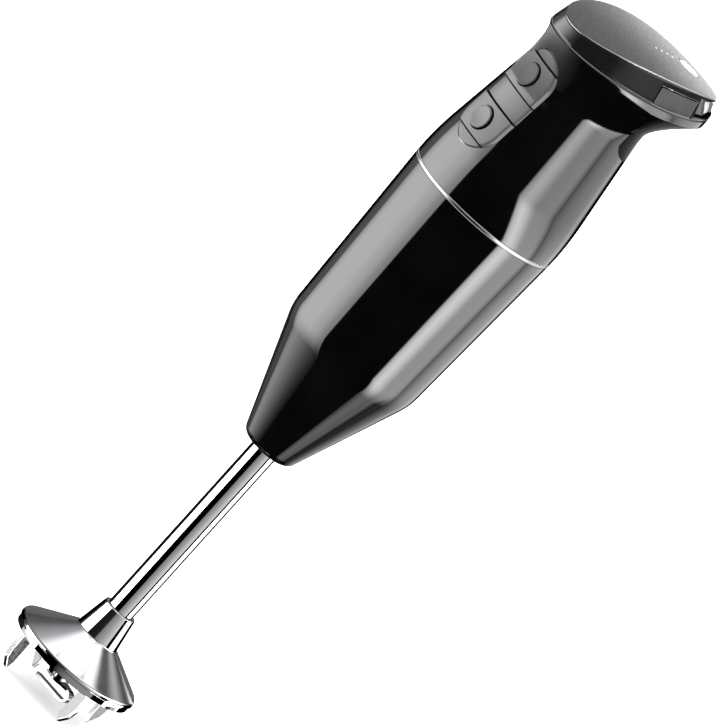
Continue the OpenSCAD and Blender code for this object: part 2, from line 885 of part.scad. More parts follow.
// A button with its skirt and the stem that works its switch
module button(s) {
    r = button_d / 2;
    top = 2.9;
    under = -1;
    skirt_in = 3.5;
    skirt_end = -4.4;
    color([0.66, 0.66, 0.66]) in_pad_frame() translate([0, s * button_pitch / 2, 0]) difference() {
        union() {
            turned([[0, under], [r, under], [r, top - 0.3, 0.6], [0, top]], 3);
            ring(r, skirt_in - 0.1, skirt_end, under + 0.1);
            disc(stem_r, -9.2, under + 0.1);
        }
        ring(skirt_in, stem_r + 0.01, skirt_end - 1.6, under);
    }
}

module upper_button() {
    button(1);
}

module lower_button() {
    button(-1);
}

switch_h = 4.6;
module button_switches() {
    color([0.1, 0.1, 0.11]) in_pad_frame() for (s = [-1, 1])
        translate([0, s * button_pitch / 2, 0]) difference() {
            translate([-3, -3, board_z]) cube([6, 6, switch_h]);
            disc(stem_r + 0.2, board_z + 2, board_z + 5);
        }
}

module button_springs() {
    color([0.7, 0.7, 0.72]) in_pad_frame() for (s = [-1, 1])
        translate([0, s * button_pitch / 2, board_z + switch_h + 0.05]) coil(2.5, 0.25, 6.2, 4);
}

module control_board() {
    color([0.08, 0.3, 0.14]) in_pad_frame() {
        translate([-11, -34, board_z - board_t]) cube([22, 66, board_t]);
    }
    color([0.15, 0.15, 0.16]) in_pad_frame() {
        for (p = [[-8, -4], [3, -4], [-8, 4]])
            translate([p.x, p.y, board_z - eps]) cube([5, 4, 1.6]);
        for (x = [-8, 2]) translate([x, -30, board_z - eps]) cube([6, 9, 3]);
    }
}

// ---- battery pack -------------------------------------------------------

cell_r = 9.2;
cell_z0 = 304;
cell_h = 65.2;
cell_top = cell_z0 + cell_h;
carrier_z = 301;
cells = [[-9.6, -3], [9.6, -3], [0, 13.7]];

module at_pack_screws() {
    for (s = [-1, 1]) translate([15.5 * s, 6, 0]) children();
}

module cell_outline(grow) {
    for (c = cells) translate(c) circle(r = cell_r + grow);
    side = cell_r + grow;
    x = cells[1].x;
    y = cells[1].y;
    polygon([[-x, y - side], [x, y - side], [x + side * 0.87, y + 5],
        [8, cells[2].y + 4], [-8, cells[2].y + 4], [-x - side * 0.87, y + 5]]);
}

module cell_carrier() {
    color([0.13, 0.13, 0.14]) difference() {
        translate([0, 0, carrier_z]) linear_extrude(85) cell_outline(1.6);
        for (c = cells) translate(c) disc(cell_r + 0.15, carrier_z + 1.6, cell_top + 1.8);
        above_seam(seam_gap);
        translate([0, 4, 0]) disc(9, cell_top + 2.3, cell_top + 20);
        translate([-cells[1].x, -5.6, cell_top - 0.1]) cube([2 * cells[1].x, 5.2, 1.8]);
        for (x = contact_x) translate([x, contact_y, 0]) disc(1.3, carrier_z - 1, carrier_z + 0.7);
        at_pack_screws() disc(1.2, cell_top + 4.8, cell_top + 20);
    }
}

module battery_cells() {
    shoulder = cell_top - 0.8;
    color([0.2, 0.4, 0.6]) for (c = cells) translate(c)
        turned([[0, cell_z0], [cell_r, cell_z0, 0.6], [cell_r, shoulder, 0.8], [4, shoulder],
            [3, cell_top], [0, cell_top]], 3);
}

strap_t = 0.3;
module cell_straps() {
    color([0.78, 0.78, 0.76]) {
        for (c = cells) translate(c) disc(3.4, cell_top, cell_top + strap_t);
        translate([-cells[1].x, -5.5, cell_top + 0.05]) cube([2 * cells[1].x, 5, strap_t - 0.05]);
        for (c = cells) translate(c) disc(4, cell_z0 - strap_t, cell_z0);
    }
}

module pack_contacts() {
    color([0.85, 0.68, 0.3]) for (x = contact_x) translate([x, contact_y, 0])
        disc(1.2, carrier_z - 0.2, carrier_z + 0.6);
}

base_t = 2;
module cap_base() {
    color([0.13, 0.13, 0.14]) {
        difference() {
            cap_loft([on_seam(oval(2.5), seam_gap), on_seam(oval(3.4), seam_gap + base_t)]);
            at_pack_screws() disc(1.4, seam_z - 10, seam_z + 10);
            translate([0, 4, 0]) disc(6, seam_z - 10, seam_z + 10);
            for (s = [-1, 1]) translate([s * 40 - 16, latch_y0 - 0.5, seam_z - 4])
                cube([32, latch_y1 - latch_y0 + 1, 12]);
        }
        // posts that the latch springs push against
        for (s = [-1, 1]) translate([s * (post_x - 0.4) - 0.4, latch_mid - 2.4, seam_z + 2])
            cube([0.8, 4.8, latch_z - seam_z]);
    }
}

module pack_screws() {
    head_z = seam_z + 2.25;
    color([0.6, 0.6, 0.62]) at_pack_screws() {
        disc(1.15, head_z - 9.25, head_z + 0.15);
        disc(2.3, head_z, head_z + 1.65);
    }
}

// ---- head ---------------------------------------------------------------

cap_wall = 2.4;
latch_y0 = 2.4;
latch_y1 = 28.8;
latch_mid = (latch_y0 + latch_y1) / 2;
latch_z = 387.8;
port_x = 25.5;
port_y = 30.2;
latch_gap = 0.35;
// Foot and top of a latch as shares of the wall's height
latch_t0 = 0.04;
latch_t1 = 0.73;
// Root of the socket that holds a latch's spring, and the face the spring pushes against
socket_x = 29.3;
post_x = 20.3;

module cap_tube(d_out, d_in, t0, t1) {
    ring_loft([wall_ring(t0, d_out), wall_ring(t1, d_out), wall_ring(t1, d_in), wall_ring(t0, d_in)]);
}

module latch_zone(side, gap) {
    x = side > 0 ? 20 : -40;
    translate([x, latch_y0 + gap, seam_z - 3]) cube([20, latch_y1 - latch_y0 - 2 * gap, 20]);
}

module cap_ring() {
    color([0.08, 0.08, 0.085]) difference() {
        cap_tube(0, cap_wall, 0, 1);
        for (side = [-1, 1]) intersection() {
            latch_zone(side, 0);
            cap_tube(-1, cap_wall + 1, -0.1, latch_t1 + 0.03);
        }
        intersection() {
            translate([-port_x - 3, port_y, seam_z]) cube([2 * port_x + 6, 40, 20]);
            cap_tube(-1, cap_wall + 1, 0.14, 0.9);
        }
    }
}

module latch(side) {
    color([0.1, 0.1, 0.105]) {
        intersection() {
            latch_zone(side, latch_gap);
            cap_tube(0, cap_wall, latch_t0, latch_t1);
        }
        difference() {
            translate([side * socket_x, latch_mid, latch_z]) rotate([0, -90 * side, 0])
                cylinder(r = 2.4, h = 5.3);
            translate([side * (socket_x - 1.8), latch_mid, latch_z]) rotate([0, -90 * side, 0])
                cylinder(r = 1.8, h = 8);
        }
    }
}

module right_latch() {
    latch(1);
}

module left_latch() {
    latch(-1);
}

module latch_springs() {
    color([0.7, 0.7, 0.72]) for (side = [-1, 1])
        translate([side * (post_x + 0.05), latch_mid, latch_z]) rotate([0, 90 * side, 0])
            coil(1.4, 0.22, 5.7, 5);
}

module charge_board() {
    color([0.08, 0.3, 0.14]) difference() {
        cap_loft([on_seam(oval(13.5), 3.4), on_seam(oval(13.5), 3.4 + board_t)]);
        at_pack_screws() disc(3, seam_z - 10, seam_z + 10);
    }
    color([0.15, 0.15, 0.16]) {
        translate([-5, 18, 387.4]) cube([10, 8, 2.2]);
        translate([-4, -8, 385.3]) cube([8, 8, 2]);
    }
}

// Recessed wall behind the charging slot, with upright ribs
port_depth = 2.7;
port_ribs = [-24.4, -16, -6, 6, 16, 24.4];
port_pads = [-20.4, -11, 0, 11, 20.4];
rib_w = 1.2;
pad_face_w = 4.4;

// The space between the base and the lid, from d_out to d_in inside the head's face
module port_wall(d_out, d_in) {
    low = base_t + 0.1;
    high = lid_t + 0.4;
    ring_loft([foot_ring(low, d_out), top_ring(high, d_out), top_ring(high, d_in),
        foot_ring(low, d_in)]);
}

module charge_port() {
    color([0.1, 0.1, 0.105]) {
        intersection() {
            translate([-port_x - 2.5, port_y - 1.2, seam_z - 5]) cube([2 * port_x + 5, 50, 30]);
            port_wall(port_depth, port_depth + 1.2);
        }
        for (x = port_ribs) intersection() {
            translate([x - rib_w / 2, port_y + 0.5, seam_z - 5]) cube([rib_w, 50, 30]);
            port_wall(0.7, port_depth + 0.4);
        }
    }
}

module charge_contacts() {
    color([0.9, 0.9, 0.88]) for (x = port_pads) intersection() {
        translate([x - pad_face_w / 2, port_y, seam_z + 5.2]) cube([pad_face_w, 50, 4.6]);
        port_wall(port_depth - 0.9, port_depth - 0.02);
    }
}

lens_y = 36;
lens_tilt = -3.2;
lens_r = 5.7;
lens_drop = 0.3;
led_y = [13, 16.6, 20.2, 23.8];
led_r = 0.6;
function lid_top(y) = lid_edge(y) + lid_crown;

module charge_leds() {
    color([0.95, 0.95, 0.9]) for (y = led_y) translate([0, y, 0])
        disc(led_r, lid_z - 3.3, lid_top(y) - 0.02);
}

module status_lens() {
    color([0.93, 0.94, 0.95]) translate([0, lens_y, lid_top(lens_y) - lens_drop])
        rotate([lens_tilt, 0, 0]) disc(lens_r, -2.6, 0.2);
}

lid_t = 1.6;
lid_rest = 0.05;
// Thickness of the lid's edge above the wall
lid_lip = 0.35;
module lid_plate() {
    color([0.25, 0.25, 0.26]) difference() {
        cap_loft(concat(
            [on_lid(scaled_lid(0.02), -lid_t), on_lid(lid_oval(cap_wall + 0.1), -lid_t),
             on_lid(lid_oval(cap_wall + 0.1), lid_rest), on_lid(lid_oval(0.1), lid_rest)],
            [for (k = [0.99, 0.9, 0.7, 0.45, 0.2, 0.02])
                on_lid(scaled_lid(k), lid_lip + (lid_crown - lid_lip) * (1 - k * k))]));
        translate([0, lens_y, lid_top(lens_y) - lens_drop]) rotate([lens_tilt, 0, 0])
            disc(lens_r + 0.05, -4, 3);
        for (y = led_y) translate([0, y, 0]) disc(led_r + 0.05, lid_z - 10, lid_z + 10);
    }
}
function scaled_lid(k) = oval(0, lid_b * k, lid_a * k, lid_y);

// ---- the object ---------------------------------------------------------

guard();
lower_bush();
shaft_seal();
shaft_tube();
upper_bush();
tube_nut();
blade_hub();
blade();
drive_shaft();
drive_pin();
shaft_clip();
shaft_coupling();
coupling_spider();
motor_coupling();
cooling_fan();
motor_shaft();
armature_core();
armature_windings();
commutator();
motor_housing();
motor_bracket();
rubber_mount();
motor_screws();
motor_can();
motor_magnets();
front_bearing();
rear_bearing();
motor_end_cap();
brush_holders();
carbon_brushes();
brush_springs();
bulkhead();
housing_screws();
motor_leads();
trim_ring();
handle_shell();
bay_floor();
bay_contacts();
control_board();
button_switches();
button_springs();
button_pad();
upper_button();
lower_button();
cell_carrier();
battery_cells();
cell_straps();
pack_contacts();
cap_base();
pack_screws();
cap_ring();
right_latch();
left_latch();
latch_springs();
charge_board();
charge_port();
charge_contacts();
charge_leds();
status_lens();
lid_plate();
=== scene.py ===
import json
import math

import bmesh
import bpy
import numpy as np
from mathutils import Matrix, Vector

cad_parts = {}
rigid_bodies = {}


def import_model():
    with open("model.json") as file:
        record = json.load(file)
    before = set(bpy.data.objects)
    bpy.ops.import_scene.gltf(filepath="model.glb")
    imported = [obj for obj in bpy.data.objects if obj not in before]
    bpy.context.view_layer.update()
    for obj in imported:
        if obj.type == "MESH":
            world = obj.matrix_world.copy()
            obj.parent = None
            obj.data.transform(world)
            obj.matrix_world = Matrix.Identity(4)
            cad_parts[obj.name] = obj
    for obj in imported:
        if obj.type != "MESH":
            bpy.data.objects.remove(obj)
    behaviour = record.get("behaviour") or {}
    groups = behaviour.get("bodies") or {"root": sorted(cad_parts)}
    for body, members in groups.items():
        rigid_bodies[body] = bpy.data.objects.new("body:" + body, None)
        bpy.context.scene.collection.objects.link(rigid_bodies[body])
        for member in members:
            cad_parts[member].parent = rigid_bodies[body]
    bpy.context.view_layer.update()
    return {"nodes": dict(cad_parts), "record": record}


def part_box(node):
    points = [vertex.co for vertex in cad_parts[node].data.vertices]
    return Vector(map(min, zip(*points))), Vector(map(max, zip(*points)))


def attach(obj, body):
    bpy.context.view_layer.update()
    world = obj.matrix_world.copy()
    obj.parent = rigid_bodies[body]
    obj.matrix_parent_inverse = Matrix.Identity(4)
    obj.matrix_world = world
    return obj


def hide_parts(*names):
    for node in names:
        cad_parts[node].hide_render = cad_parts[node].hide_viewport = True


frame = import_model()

MM = 0.001
NODES = frame["nodes"]

# ---- places taken from the frame -----------------------------------------------

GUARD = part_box("guard")
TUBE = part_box("shaft_tube")
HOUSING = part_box("motor_housing")
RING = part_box("trim_ring")
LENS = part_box("status_lens")
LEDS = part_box("charge_leds")

GUARD_R = GUARD[1].x
COLLAR_TOP = GUARD[1].z
TUBE_R = TUBE[1].x
HOUSING_Z = HOUSING[0].z
RING_Z = HOUSING[1].z
BODY_R = HOUSING[1].x
RING_TOP = RING_Z + 1.3 * MM

# ---- proportions that no box shows (metres) ---------------------------------------

# Guard: its rim's lower edge, and the bell above it
RIM_Z = 18.2 * MM
BELL_LIFT = 4.9 * MM
BELL_SLOPE = 1 / 1.72
BELL_WALL = 2 * MM
# Housing: the crease between its cone and its barrel
CREASE_Z = 205.9 * MM
CREASE_R = 34.3 * MM
CONE_SLOPE = 0.375
WALL = 2.3 * MM
# Handle: its narrowest ring, under the head
NECK_Z = 362 * MM
NECK_R = 31 * MM
# Head: half its width and half its length at the seam, its centre, and the sloping seam
HEAD_B = 32.4 * MM
HEAD_A = 46.4 * MM
HEAD_Y = 9.6 * MM
SEAM_Z = 382 * MM
SEAM_SLOPE = 0.09
SEAM_GAP = 0.35 * MM
FLANGE_H = 4.4 * MM
CAP_WALL = 2.4 * MM
# Lid: the same for its edge, which arches downwards at both ends
LID_B = 28.8 * MM
LID_A = 44.4 * MM
LID_Y = 8.8 * MM
LID_Z = 394.3 * MM
LID_ARCH = 5.2 * MM
LID_CROWN = 0.9 * MM
LID_SPAN = 43.6 * MM

# Steps round a turned shape, and the roughness of mirror-bright metal
ROUND = 192
MIRROR = 0.002


# ---- node materials ---------------------------------------------------------------

def new_material(name):
    m = bpy.data.materials.new(name)
    m.use_nodes = True
    return m, m.node_tree.nodes, m.node_tree.links, m.node_tree.nodes["Principled BSDF"]


def noise(nodes, links, scale, detail=3, stretch=(1, 1, 1)):
    coords = nodes.new("ShaderNodeTexCoord")
    mapping = nodes.new("ShaderNodeMapping")
    mapping.inputs["Scale"].default_value = stretch
    links.new(coords.outputs["Object"], mapping.inputs["Vector"])
    tex = nodes.new("ShaderNodeTexNoise")
    tex.inputs["Scale"].default_value = scale
    tex.inputs["Detail"].default_value = detail
    links.new(mapping.outputs["Vector"], tex.inputs["Vector"])
    return tex


# The parts of a noise texture's 0..1 over which gloss and tone change
GLOSS_RANGE = (0.3, 0.7)
TONE_RANGE = (0.35, 0.65)


def spread(nodes, links, source, low, high):
    """Maps a texture's GLOSS_RANGE onto low..high."""
    r = nodes.new("ShaderNodeMapRange")
    r.inputs["From Min"].default_value, r.inputs["From Max"].default_value = GLOSS_RANGE
    r.inputs["To Min"].default_value = low
    r.inputs["To Max"].default_value = high
    links.new(source, r.inputs["Value"])
    return r.outputs["Result"]


def bump(nodes, links, bsdf, source, strength, depth):
    b = nodes.new("ShaderNodeBump")
    b.inputs["Strength"].default_value = strength
    b.inputs["Distance"].default_value = depth
    links.new(source, b.inputs["Height"])
    links.new(b.outputs["Normal"], bsdf.inputs["Normal"])


def tint(nodes, links, bsdf, source, dark, light):
    """Colours the surface from dark to light over a texture's TONE_RANGE."""
    ramp = nodes.new("ShaderNodeValToRGB")
    for element, position, color in zip(ramp.color_ramp.elements, TONE_RANGE, (dark, light)):
        element.position = position
        element.color = (*color, 1)
    links.new(source, ramp.inputs["Fac"])
    links.new(ramp.outputs["Color"], bsdf.inputs["Base Color"])


def moulded(name, color, rough, grain=900, grain_depth=0.01, vary=0.15, rough_vary=0.03):
    """Moulded plastic or rubber: fine surface grain and a slight drift of tone and gloss."""
    m, nodes, links, bsdf = new_material(name)
    drift = noise(nodes, links, 60)
    fine = noise(nodes, links, grain, 2)
    tint(nodes, links, bsdf, drift.outputs["Fac"],
         [c * (1 - vary) for c in color], [c * (1 + vary) for c in color])
    links.new(spread(nodes, links, drift.outputs["Fac"], rough - rough_vary, rough + rough_vary),
              bsdf.inputs["Roughness"])
    bump(nodes, links, bsdf, fine.outputs["Fac"], 0.25, grain_depth * MM)
    return m


def unlit(m):
    """Takes all gloss away, for near-black surfaces that paint shade into gaps, openings and along shaded
    edges.
    """
    m.node_tree.nodes["Principled BSDF"].inputs["Specular IOR Level"].default_value = 0.0
    return m


def speckled(name, dark, light, rough):
    """Fine-grained satin lacquer: light flakes in a dark ground."""
    m, nodes, links, bsdf = new_material(name)
    flakes = noise(nodes, links, 2600, 2)
    grain = noise(nodes, links, 1500, 3)
    tint(nodes, links, bsdf, flakes.outputs["Fac"], dark, light)
    links.new(spread(nodes, links, grain.outputs["Fac"], rough - 0.1, rough + 0.1),
              bsdf.inputs["Roughness"])
    bump(nodes, links, bsdf, grain.outputs["Fac"], 0.5, 0.1 * MM)
    return m


def metal(name, color, rough, stretch=(1, 1, 1), grain=400, depth=0.004, vary=0.06, rough_vary=0.02):
    """Bare metal, brushed along the direction in which the noise is least stretched."""
    m, nodes, links, bsdf = new_material(name)
    bsdf.inputs["Metallic"].default_value = 1.0
    lines = noise(nodes, links, grain, 4, stretch)
    drift = noise(nodes, links, 45)
    tint(nodes, links, bsdf, drift.outputs["Fac"],
         [c * (1 - vary) for c in color], [min(1, c * (1 + vary)) for c in color])
    bsdf.inputs["Roughness"].default_value = rough
    if rough_vary:
        links.new(spread(nodes, links, lines.outputs["Fac"], rough - rough_vary, rough + rough_vary),
                  bsdf.inputs["Roughness"])
    bump(nodes, links, bsdf, lines.outputs["Fac"], 0.2, depth * MM)
    return m


def make_materials():
    """One material for each slot, and some that only scene.py's own pieces use."""
    return {
        "gloss_black": moulded("gloss_black", (0.0016, 0.0016, 0.0018), 0.035, 260, 0.0012, 0.2, 0.01),
        # The next two are painted shade: near-black, glossless surfaces put in gaps, openings and along
        # edges where shade falls
        "shadow_black": unlit(moulded("shadow_black", (0.001, 0.001, 0.001), 0.6, 1400, 0.004)),
        "painted_shade_grey": unlit(moulded("painted_shade_grey", (0.003, 0.003, 0.003), 0.6, 1400, 0.004)),
        "cap_black": moulded("cap_black", (0.006, 0.006, 0.0063), 0.14, 1400, 0.006, 0.15, 0.03),
        "latch_black": moulded("latch_black", (0.06, 0.06, 0.061), 0.3, 1400, 0.006, 0.15, 0.03),
        "lid_grey": speckled("lid_grey", (0.002, 0.002, 0.002), (0.085, 0.085, 0.087), 0.36),
        "edge_bright": metal("edge_bright", (0.3, 0.3, 0.31), 0.25, (1, 1, 1), 700, 0.004),
        "pad_grey": moulded("pad_grey", (0.06, 0.06, 0.061), 0.4, 2600, 0.012, 0.04, 0.05),
        "trim_silver": metal("trim_silver", (0.3, 0.3, 0.305), 0.26, (1, 1, 14), 500),
        "chrome_tube": metal("chrome_tube", (0.83, 0.84, 0.86), MIRROR, (1, 1, 0.05), 500, 0.0004, 0.02, 0),
        "guard_steel": metal("guard_steel", (0.72, 0.73, 0.75), 0.12, (1, 1, 1), 500, 0.004, 0.05),
        "guard_bright": metal("guard_bright", (0.78, 0.79, 0.81), MIRROR, (1, 1, 1), 90, 0.001, 0.03, 0),
        "blade_steel": metal("blade_steel", (0.36, 0.36, 0.37), 0.16, (1, 9, 9), 700, 0.004),
        "shaft_steel": metal("shaft_steel", (0.6, 0.61, 0.63), 0.18, (1, 1, 8), 900),
        "bronze": metal("bronze", (0.55, 0.36, 0.16), 0.38, (1, 1, 1), 1600, 0.02, 0.15),
        "seal_rubber": moulded("seal_rubber", (0.02, 0.02, 0.02), 0.6, 1200, 0.02),
        "spider_rubber": moulded("spider_rubber", (0.42, 0.06, 0.03), 0.5, 1000, 0.02),
        "motor_steel": metal("motor_steel", (0.5, 0.51, 0.52), 0.3, (1, 1, 1), 700, 0.01, 0.1),
        "lamination": metal("lamination", (0.3, 0.3, 0.31), 0.4, (1, 1, 90), 60, 0.06, 0.1),
        "magnet": moulded("magnet", (0.05, 0.05, 0.055), 0.5, 900, 0.03),
        "copper": metal("copper", (0.72, 0.3, 0.12), 0.3, (1, 1, 30), 90, 0.08, 0.12),
        "gold_contact": metal("gold_contact", (0.9, 0.66, 0.28), 0.18, (1, 1, 1), 600),
        "carbon": moulded("carbon", (0.02, 0.02, 0.02), 0.45, 1800, 0.02),
        "inner_plastic": moulded("inner_plastic", (0.03, 0.03, 0.032), 0.42, 1300, 0.02),
        "board_green": moulded("board_green", (0.01, 0.09, 0.03), 0.3, 700, 0.01, 0.3),
        "cell_wrap": moulded("cell_wrap", (0.02, 0.11, 0.3), 0.25, 500, 0.01, 0.1),
        "wire": moulded("wire", (0.4, 0.02, 0.015), 0.4, 900, 0.01),
        "nickel": metal("nickel", (0.72, 0.7, 0.66), 0.25, (1, 1, 1), 600),
        "lens_white": moulded("lens_white", (0.86, 0.88, 0.9), 0.2, 500, 0.004, 0.02),
    }


# ---- mesh helpers -----------------------------------------------------------------

def new_object(name, bm, material=None):
    """The bmesh as an object of the scene."""
    mesh = bpy.data.meshes.new(name)
    bm.to_mesh(mesh)
    bm.free()
    if material:
        mesh.materials.append(material)
    o = bpy.data.objects.new(name, mesh)
    bpy.context.scene.collection.objects.link(o)
    return o


def shade(o, sharp_angle):
    """Smooth shading, with edges kept sharp above the angle and flat faces kept flat."""
    for p in o.data.polygons:
        p.use_smooth = True
    o.data.set_sharp_from_angle(angle=math.radians(sharp_angle))
    o.modifiers.new("flat faces stay flat", "WEIGHTED_NORMAL").keep_sharp = True


def as_piece(name, bm, material, body, sharp_angle, replaces=()):
    """The bmesh as a visible piece that rides on a body."""
    bmesh.ops.remove_doubles(bm, verts=bm.verts, dist=1e-7)
    bmesh.ops.recalc_face_normals(bm, faces=bm.faces)
    o = new_object(name, bm, material)
    shade(o, sharp_angle)
    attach(o, body)
    if replaces:
        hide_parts(*replaces)
    return o


def second_material(o, material, chosen):
    """Gives a second material to the faces for which chosen(face) is true."""
    o.data.materials.append(material)
    for p in o.data.polygons:
        if chosen(p):
            p.material_index = 1


def corner(a, b, c, r, n=6):
    """The arc that rounds corner b of the path a-b-c to radius r."""
    a, b, c = (np.array(p, float) for p in (a, b, c))
    if r <= 0:
        return [tuple(b)]
    u = (a - b) / np.linalg.norm(a - b)
    v = (c - b) / np.linalg.norm(c - b)
    half = math.acos(max(-1, min(1, float(u @ v)))) / 2
    mid = b + (u + v) / np.linalg.norm(u + v) * r / math.sin(half)
    reach = r / math.tan(half)
    s, e = b + u * reach - mid, b + v * reach - mid
    out = []
    for i in range(n + 1):
        d = s * (n - i) + e * i
        out.append(tuple(mid + r * d / np.linalg.norm(d)))
    return out


def rounded(points, n=6):
    """A closed outline from (x, y) or (x, y, corner radius) entries."""
    k = len(points)
    out = []
    for i in range(k):
        p = points[i]
        out += corner(points[i - 1][:2], p[:2], points[(i + 1) % k][:2], p[2] if len(p) > 2 else 0, n)
    return out


def divided(path, step, closed=True):
    """The path with its long straight stretches cut into pieces of about step."""
    out = []
    count = len(path) if closed else len(path) - 1
    for i in range(count):
        a, b = np.array(path[i]), np.array(path[(i + 1) % len(path)])
        n = max(1, math.ceil(np.linalg.norm(b - a) / step))
        out += [tuple(a + (b - a) * j / n) for j in range(n)]
    if not closed:
        out.append(tuple(path[-1]))
    return out


def revolve(profile, steps=ROUND, closed=True):
    """Turns a closed (radius, height) outline about Z."""
    bm = bmesh.new()
    rings = []
    for r, z in profile:
        if r < 1e-7:
            rings.append([bm.verts.new((0, 0, z))] * steps)
        else:
            rings.append([bm.verts.new((r * math.cos(a), r * math.sin(a), z)) for a in angles(steps)])
    skin(bm, rings, closed)
    return bm


def skin(bm, rings, closed=False, caps=False):
    """Joins each ring of vertices to the next with faces."""
    n = len(rings[0])
    pairs = list(zip(rings, rings[1:]))
    if closed:
        pairs.append((rings[-1], rings[0]))
    for a, b in pairs:
        for j in range(n):
            k = (j + 1) % n
            quad = [a[j], a[k], b[k], b[j]]
            face = [v for i, v in enumerate(quad) if v not in quad[:i]]
            if len(face) > 2:
                bm.faces.new(face)
    if caps:
        bm.faces.new(rings[0][::-1])
        bm.faces.new(rings[-1])


def loft(rings, closed=False, caps=False):
    """A skin over rings of points."""
    bm = bmesh.new()
    skin(bm, [[bm.verts.new(p) for p in ring] for ring in rings], closed, caps)
    return bm


def prism(outline, z0, z1, matrix=None, bevel=0.0, segments=2):
    """An extruded outline with its edges rounded."""
    bm = bmesh.new()
    low = [bm.verts.new((x, y, z0)) for x, y in outline]
    high = [bm.verts.new((x, y, z1)) for x, y in outline]
    skin(bm, [low, high], caps=True)
    bmesh.ops.recalc_face_normals(bm, faces=bm.faces)
    if bevel:
        ends = [e for e in bm.edges if abs(e.verts[0].co.z - e.verts[1].co.z) < 1e-9]
        bmesh.ops.bevel(bm, geom=ends, offset=bevel, segments=segments, profile=0.5, affect="EDGES")
    if matrix is not None:
        bmesh.ops.transform(bm, matrix=matrix, verts=bm.verts)
    return bm


def cutter(bm, material=None):
    """A tool for cut(), whose material the cut faces take."""
    bmesh.ops.recalc_face_normals(bm, faces=bm.faces)
    return new_object("cutter", bm, material)


def cut(o, tools, sharp_angle):
    """Takes the tools out of a piece and removes them."""
    o.modifiers.clear()
    for t in tools:
        m = o.modifiers.new("cut", "BOOLEAN")
        m.operation = "DIFFERENCE"
        m.solver = "EXACT"
        m.material_mode = "TRANSFER" if t.data.materials else "INDEX"
        m.object = t
    mesh = bpy.data.meshes.new_from_object(o.evaluated_get(bpy.context.evaluated_depsgraph_get()))
    o.modifiers.clear()
    old = o.data
    o.data = mesh
    mesh.name = old.name
    bpy.data.meshes.remove(old)
    shade(o, sharp_angle)
    for t in tools:
        bpy.data.objects.remove(t)


def merged(*parts):
    """Several bmeshes as one."""
    bm = bmesh.new()
    for part in parts:
        mesh = bpy.data.meshes.new("part")
        part.to_mesh(mesh)
        part.free()
        bm.from_mesh(mesh)
        bpy.data.meshes.remove(mesh)
    return bm


def angles(n=ROUND):
    return np.linspace(0, 2 * math.pi, n, endpoint=False)


def circle(r, n, y=0.0):
    return [(r * math.cos(a), y + r * math.sin(a)) for a in angles(n)]


# ---- head outline -----------------------------------------------------------------

def seam(y):
    """Height of the seam between the handle and the head."""
    return SEAM_Z + SEAM_SLOPE * (y - HEAD_Y)


def lid_edge(y):
    """Height of the lid's edge."""
    s = (y - HEAD_Y + MM) / LID_SPAN
    return LID_Z + SEAM_SLOPE * (y - HEAD_Y + MM) - LID_ARCH * s * s


def oval(d=0.0, b=HEAD_B, a=HEAD_A, y0=HEAD_Y):
    """The head's outline from above, drawn in by d."""
    return [((b - d) * math.cos(t), y0 + (a - d) * math.sin(t)) for t in angles()]


def lid_oval(d=0.0):
    return oval(d, LID_B, LID_A, LID_Y)


def wall_ring(t, d):
    """Between the seam oval (t = 0) and the lid oval (t = 1), drawn in by d."""
    out = []
    for (x0, y0), (x1, y1) in zip(oval(d), lid_oval(d)):
        z0, z1 = seam(y0) + SEAM_GAP, lid_edge(y1)
        out.append((x0 + (x1 - x0) * t, y0 + (y1 - y0) * t, z0 + (z1 - z0) * t))
    return out


# ---- guard and tube ---------------------------------------------------------------

# A prong: its distance from the axis, half its width and thickness, its edge rounding,
# where the first one stands, and how far each is turned from facing the axis (degrees)
PRONG_R = 26.1 * MM
PRONG_HALF_W = 3.5 * MM
PRONG_HALF_T = 1.25 * MM
PRONG_EDGE = 0.6 * MM
PRONG_AZIMUTH = -13.4
PRONG_TURN = 17.4
# The sloping outside of the bell lies between these distances from the axis
BELL_INNER_R = 11.3 * MM
BELL_OUTER_R = GUARD_R - 0.5 * MM


def bell_at(r):
    """Height of the bell's outside at that distance from the axis."""
    return RIM_Z + BELL_LIFT + (GUARD_R - r) * BELL_SLOPE


def guard(mats):
    """Bell, rim band and prongs: satin on the bell and the prongs, mirror-bright elsewhere."""
    band = GUARD_R - 0.7 * MM
    inner = band - 1.3 * MM
    top = RIM_Z + 2.9 * MM
    t = BELL_WALL
    profile = rounded([
        (TUBE_R, COLLAR_TOP), (8.2 * MM, COLLAR_TOP, 0.5 * MM), (10.9 * MM, bell_at(10.9 * MM), 1.2 * MM),
        (GUARD_R, bell_at(GUARD_R), 2 * MM), (GUARD_R, top + 0.2 * MM, 0.3 * MM), (band, top),
        (band, RIM_Z, 0.3 * MM), (inner, RIM_Z, 0.3 * MM), (inner, bell_at(inner) - t, 0.8 * MM),
        (12 * MM, bell_at(12 * MM) - t, 1.5 * MM), (8 * MM, bell_at(12 * MM) - t, 0.8 * MM),
        (7.6 * MM, 31 * MM, 0.4 * MM), (5.13 * MM, 31 * MM), (5.13 * MM, 36 * MM), (TUBE_R, 36 * MM)], 8)
    bell = revolve(divided(profile, 3 * MM))
    o = as_piece("guard_bell", merged(bell, *[prong(i) for i in range(4)]), mats["guard_bright"],
                 "body", 32, ["guard"])

    def is_satin(p):
        r = math.hypot(p.center.x, p.center.y)
        on_bell = BELL_INNER_R < r < BELL_OUTER_R and p.center.z > bell_at(r) - BELL_WALL
        return on_bell or p.center.z < RIM_Z - 0.5 * MM

    second_material(o, mats["guard_steel"], is_satin)


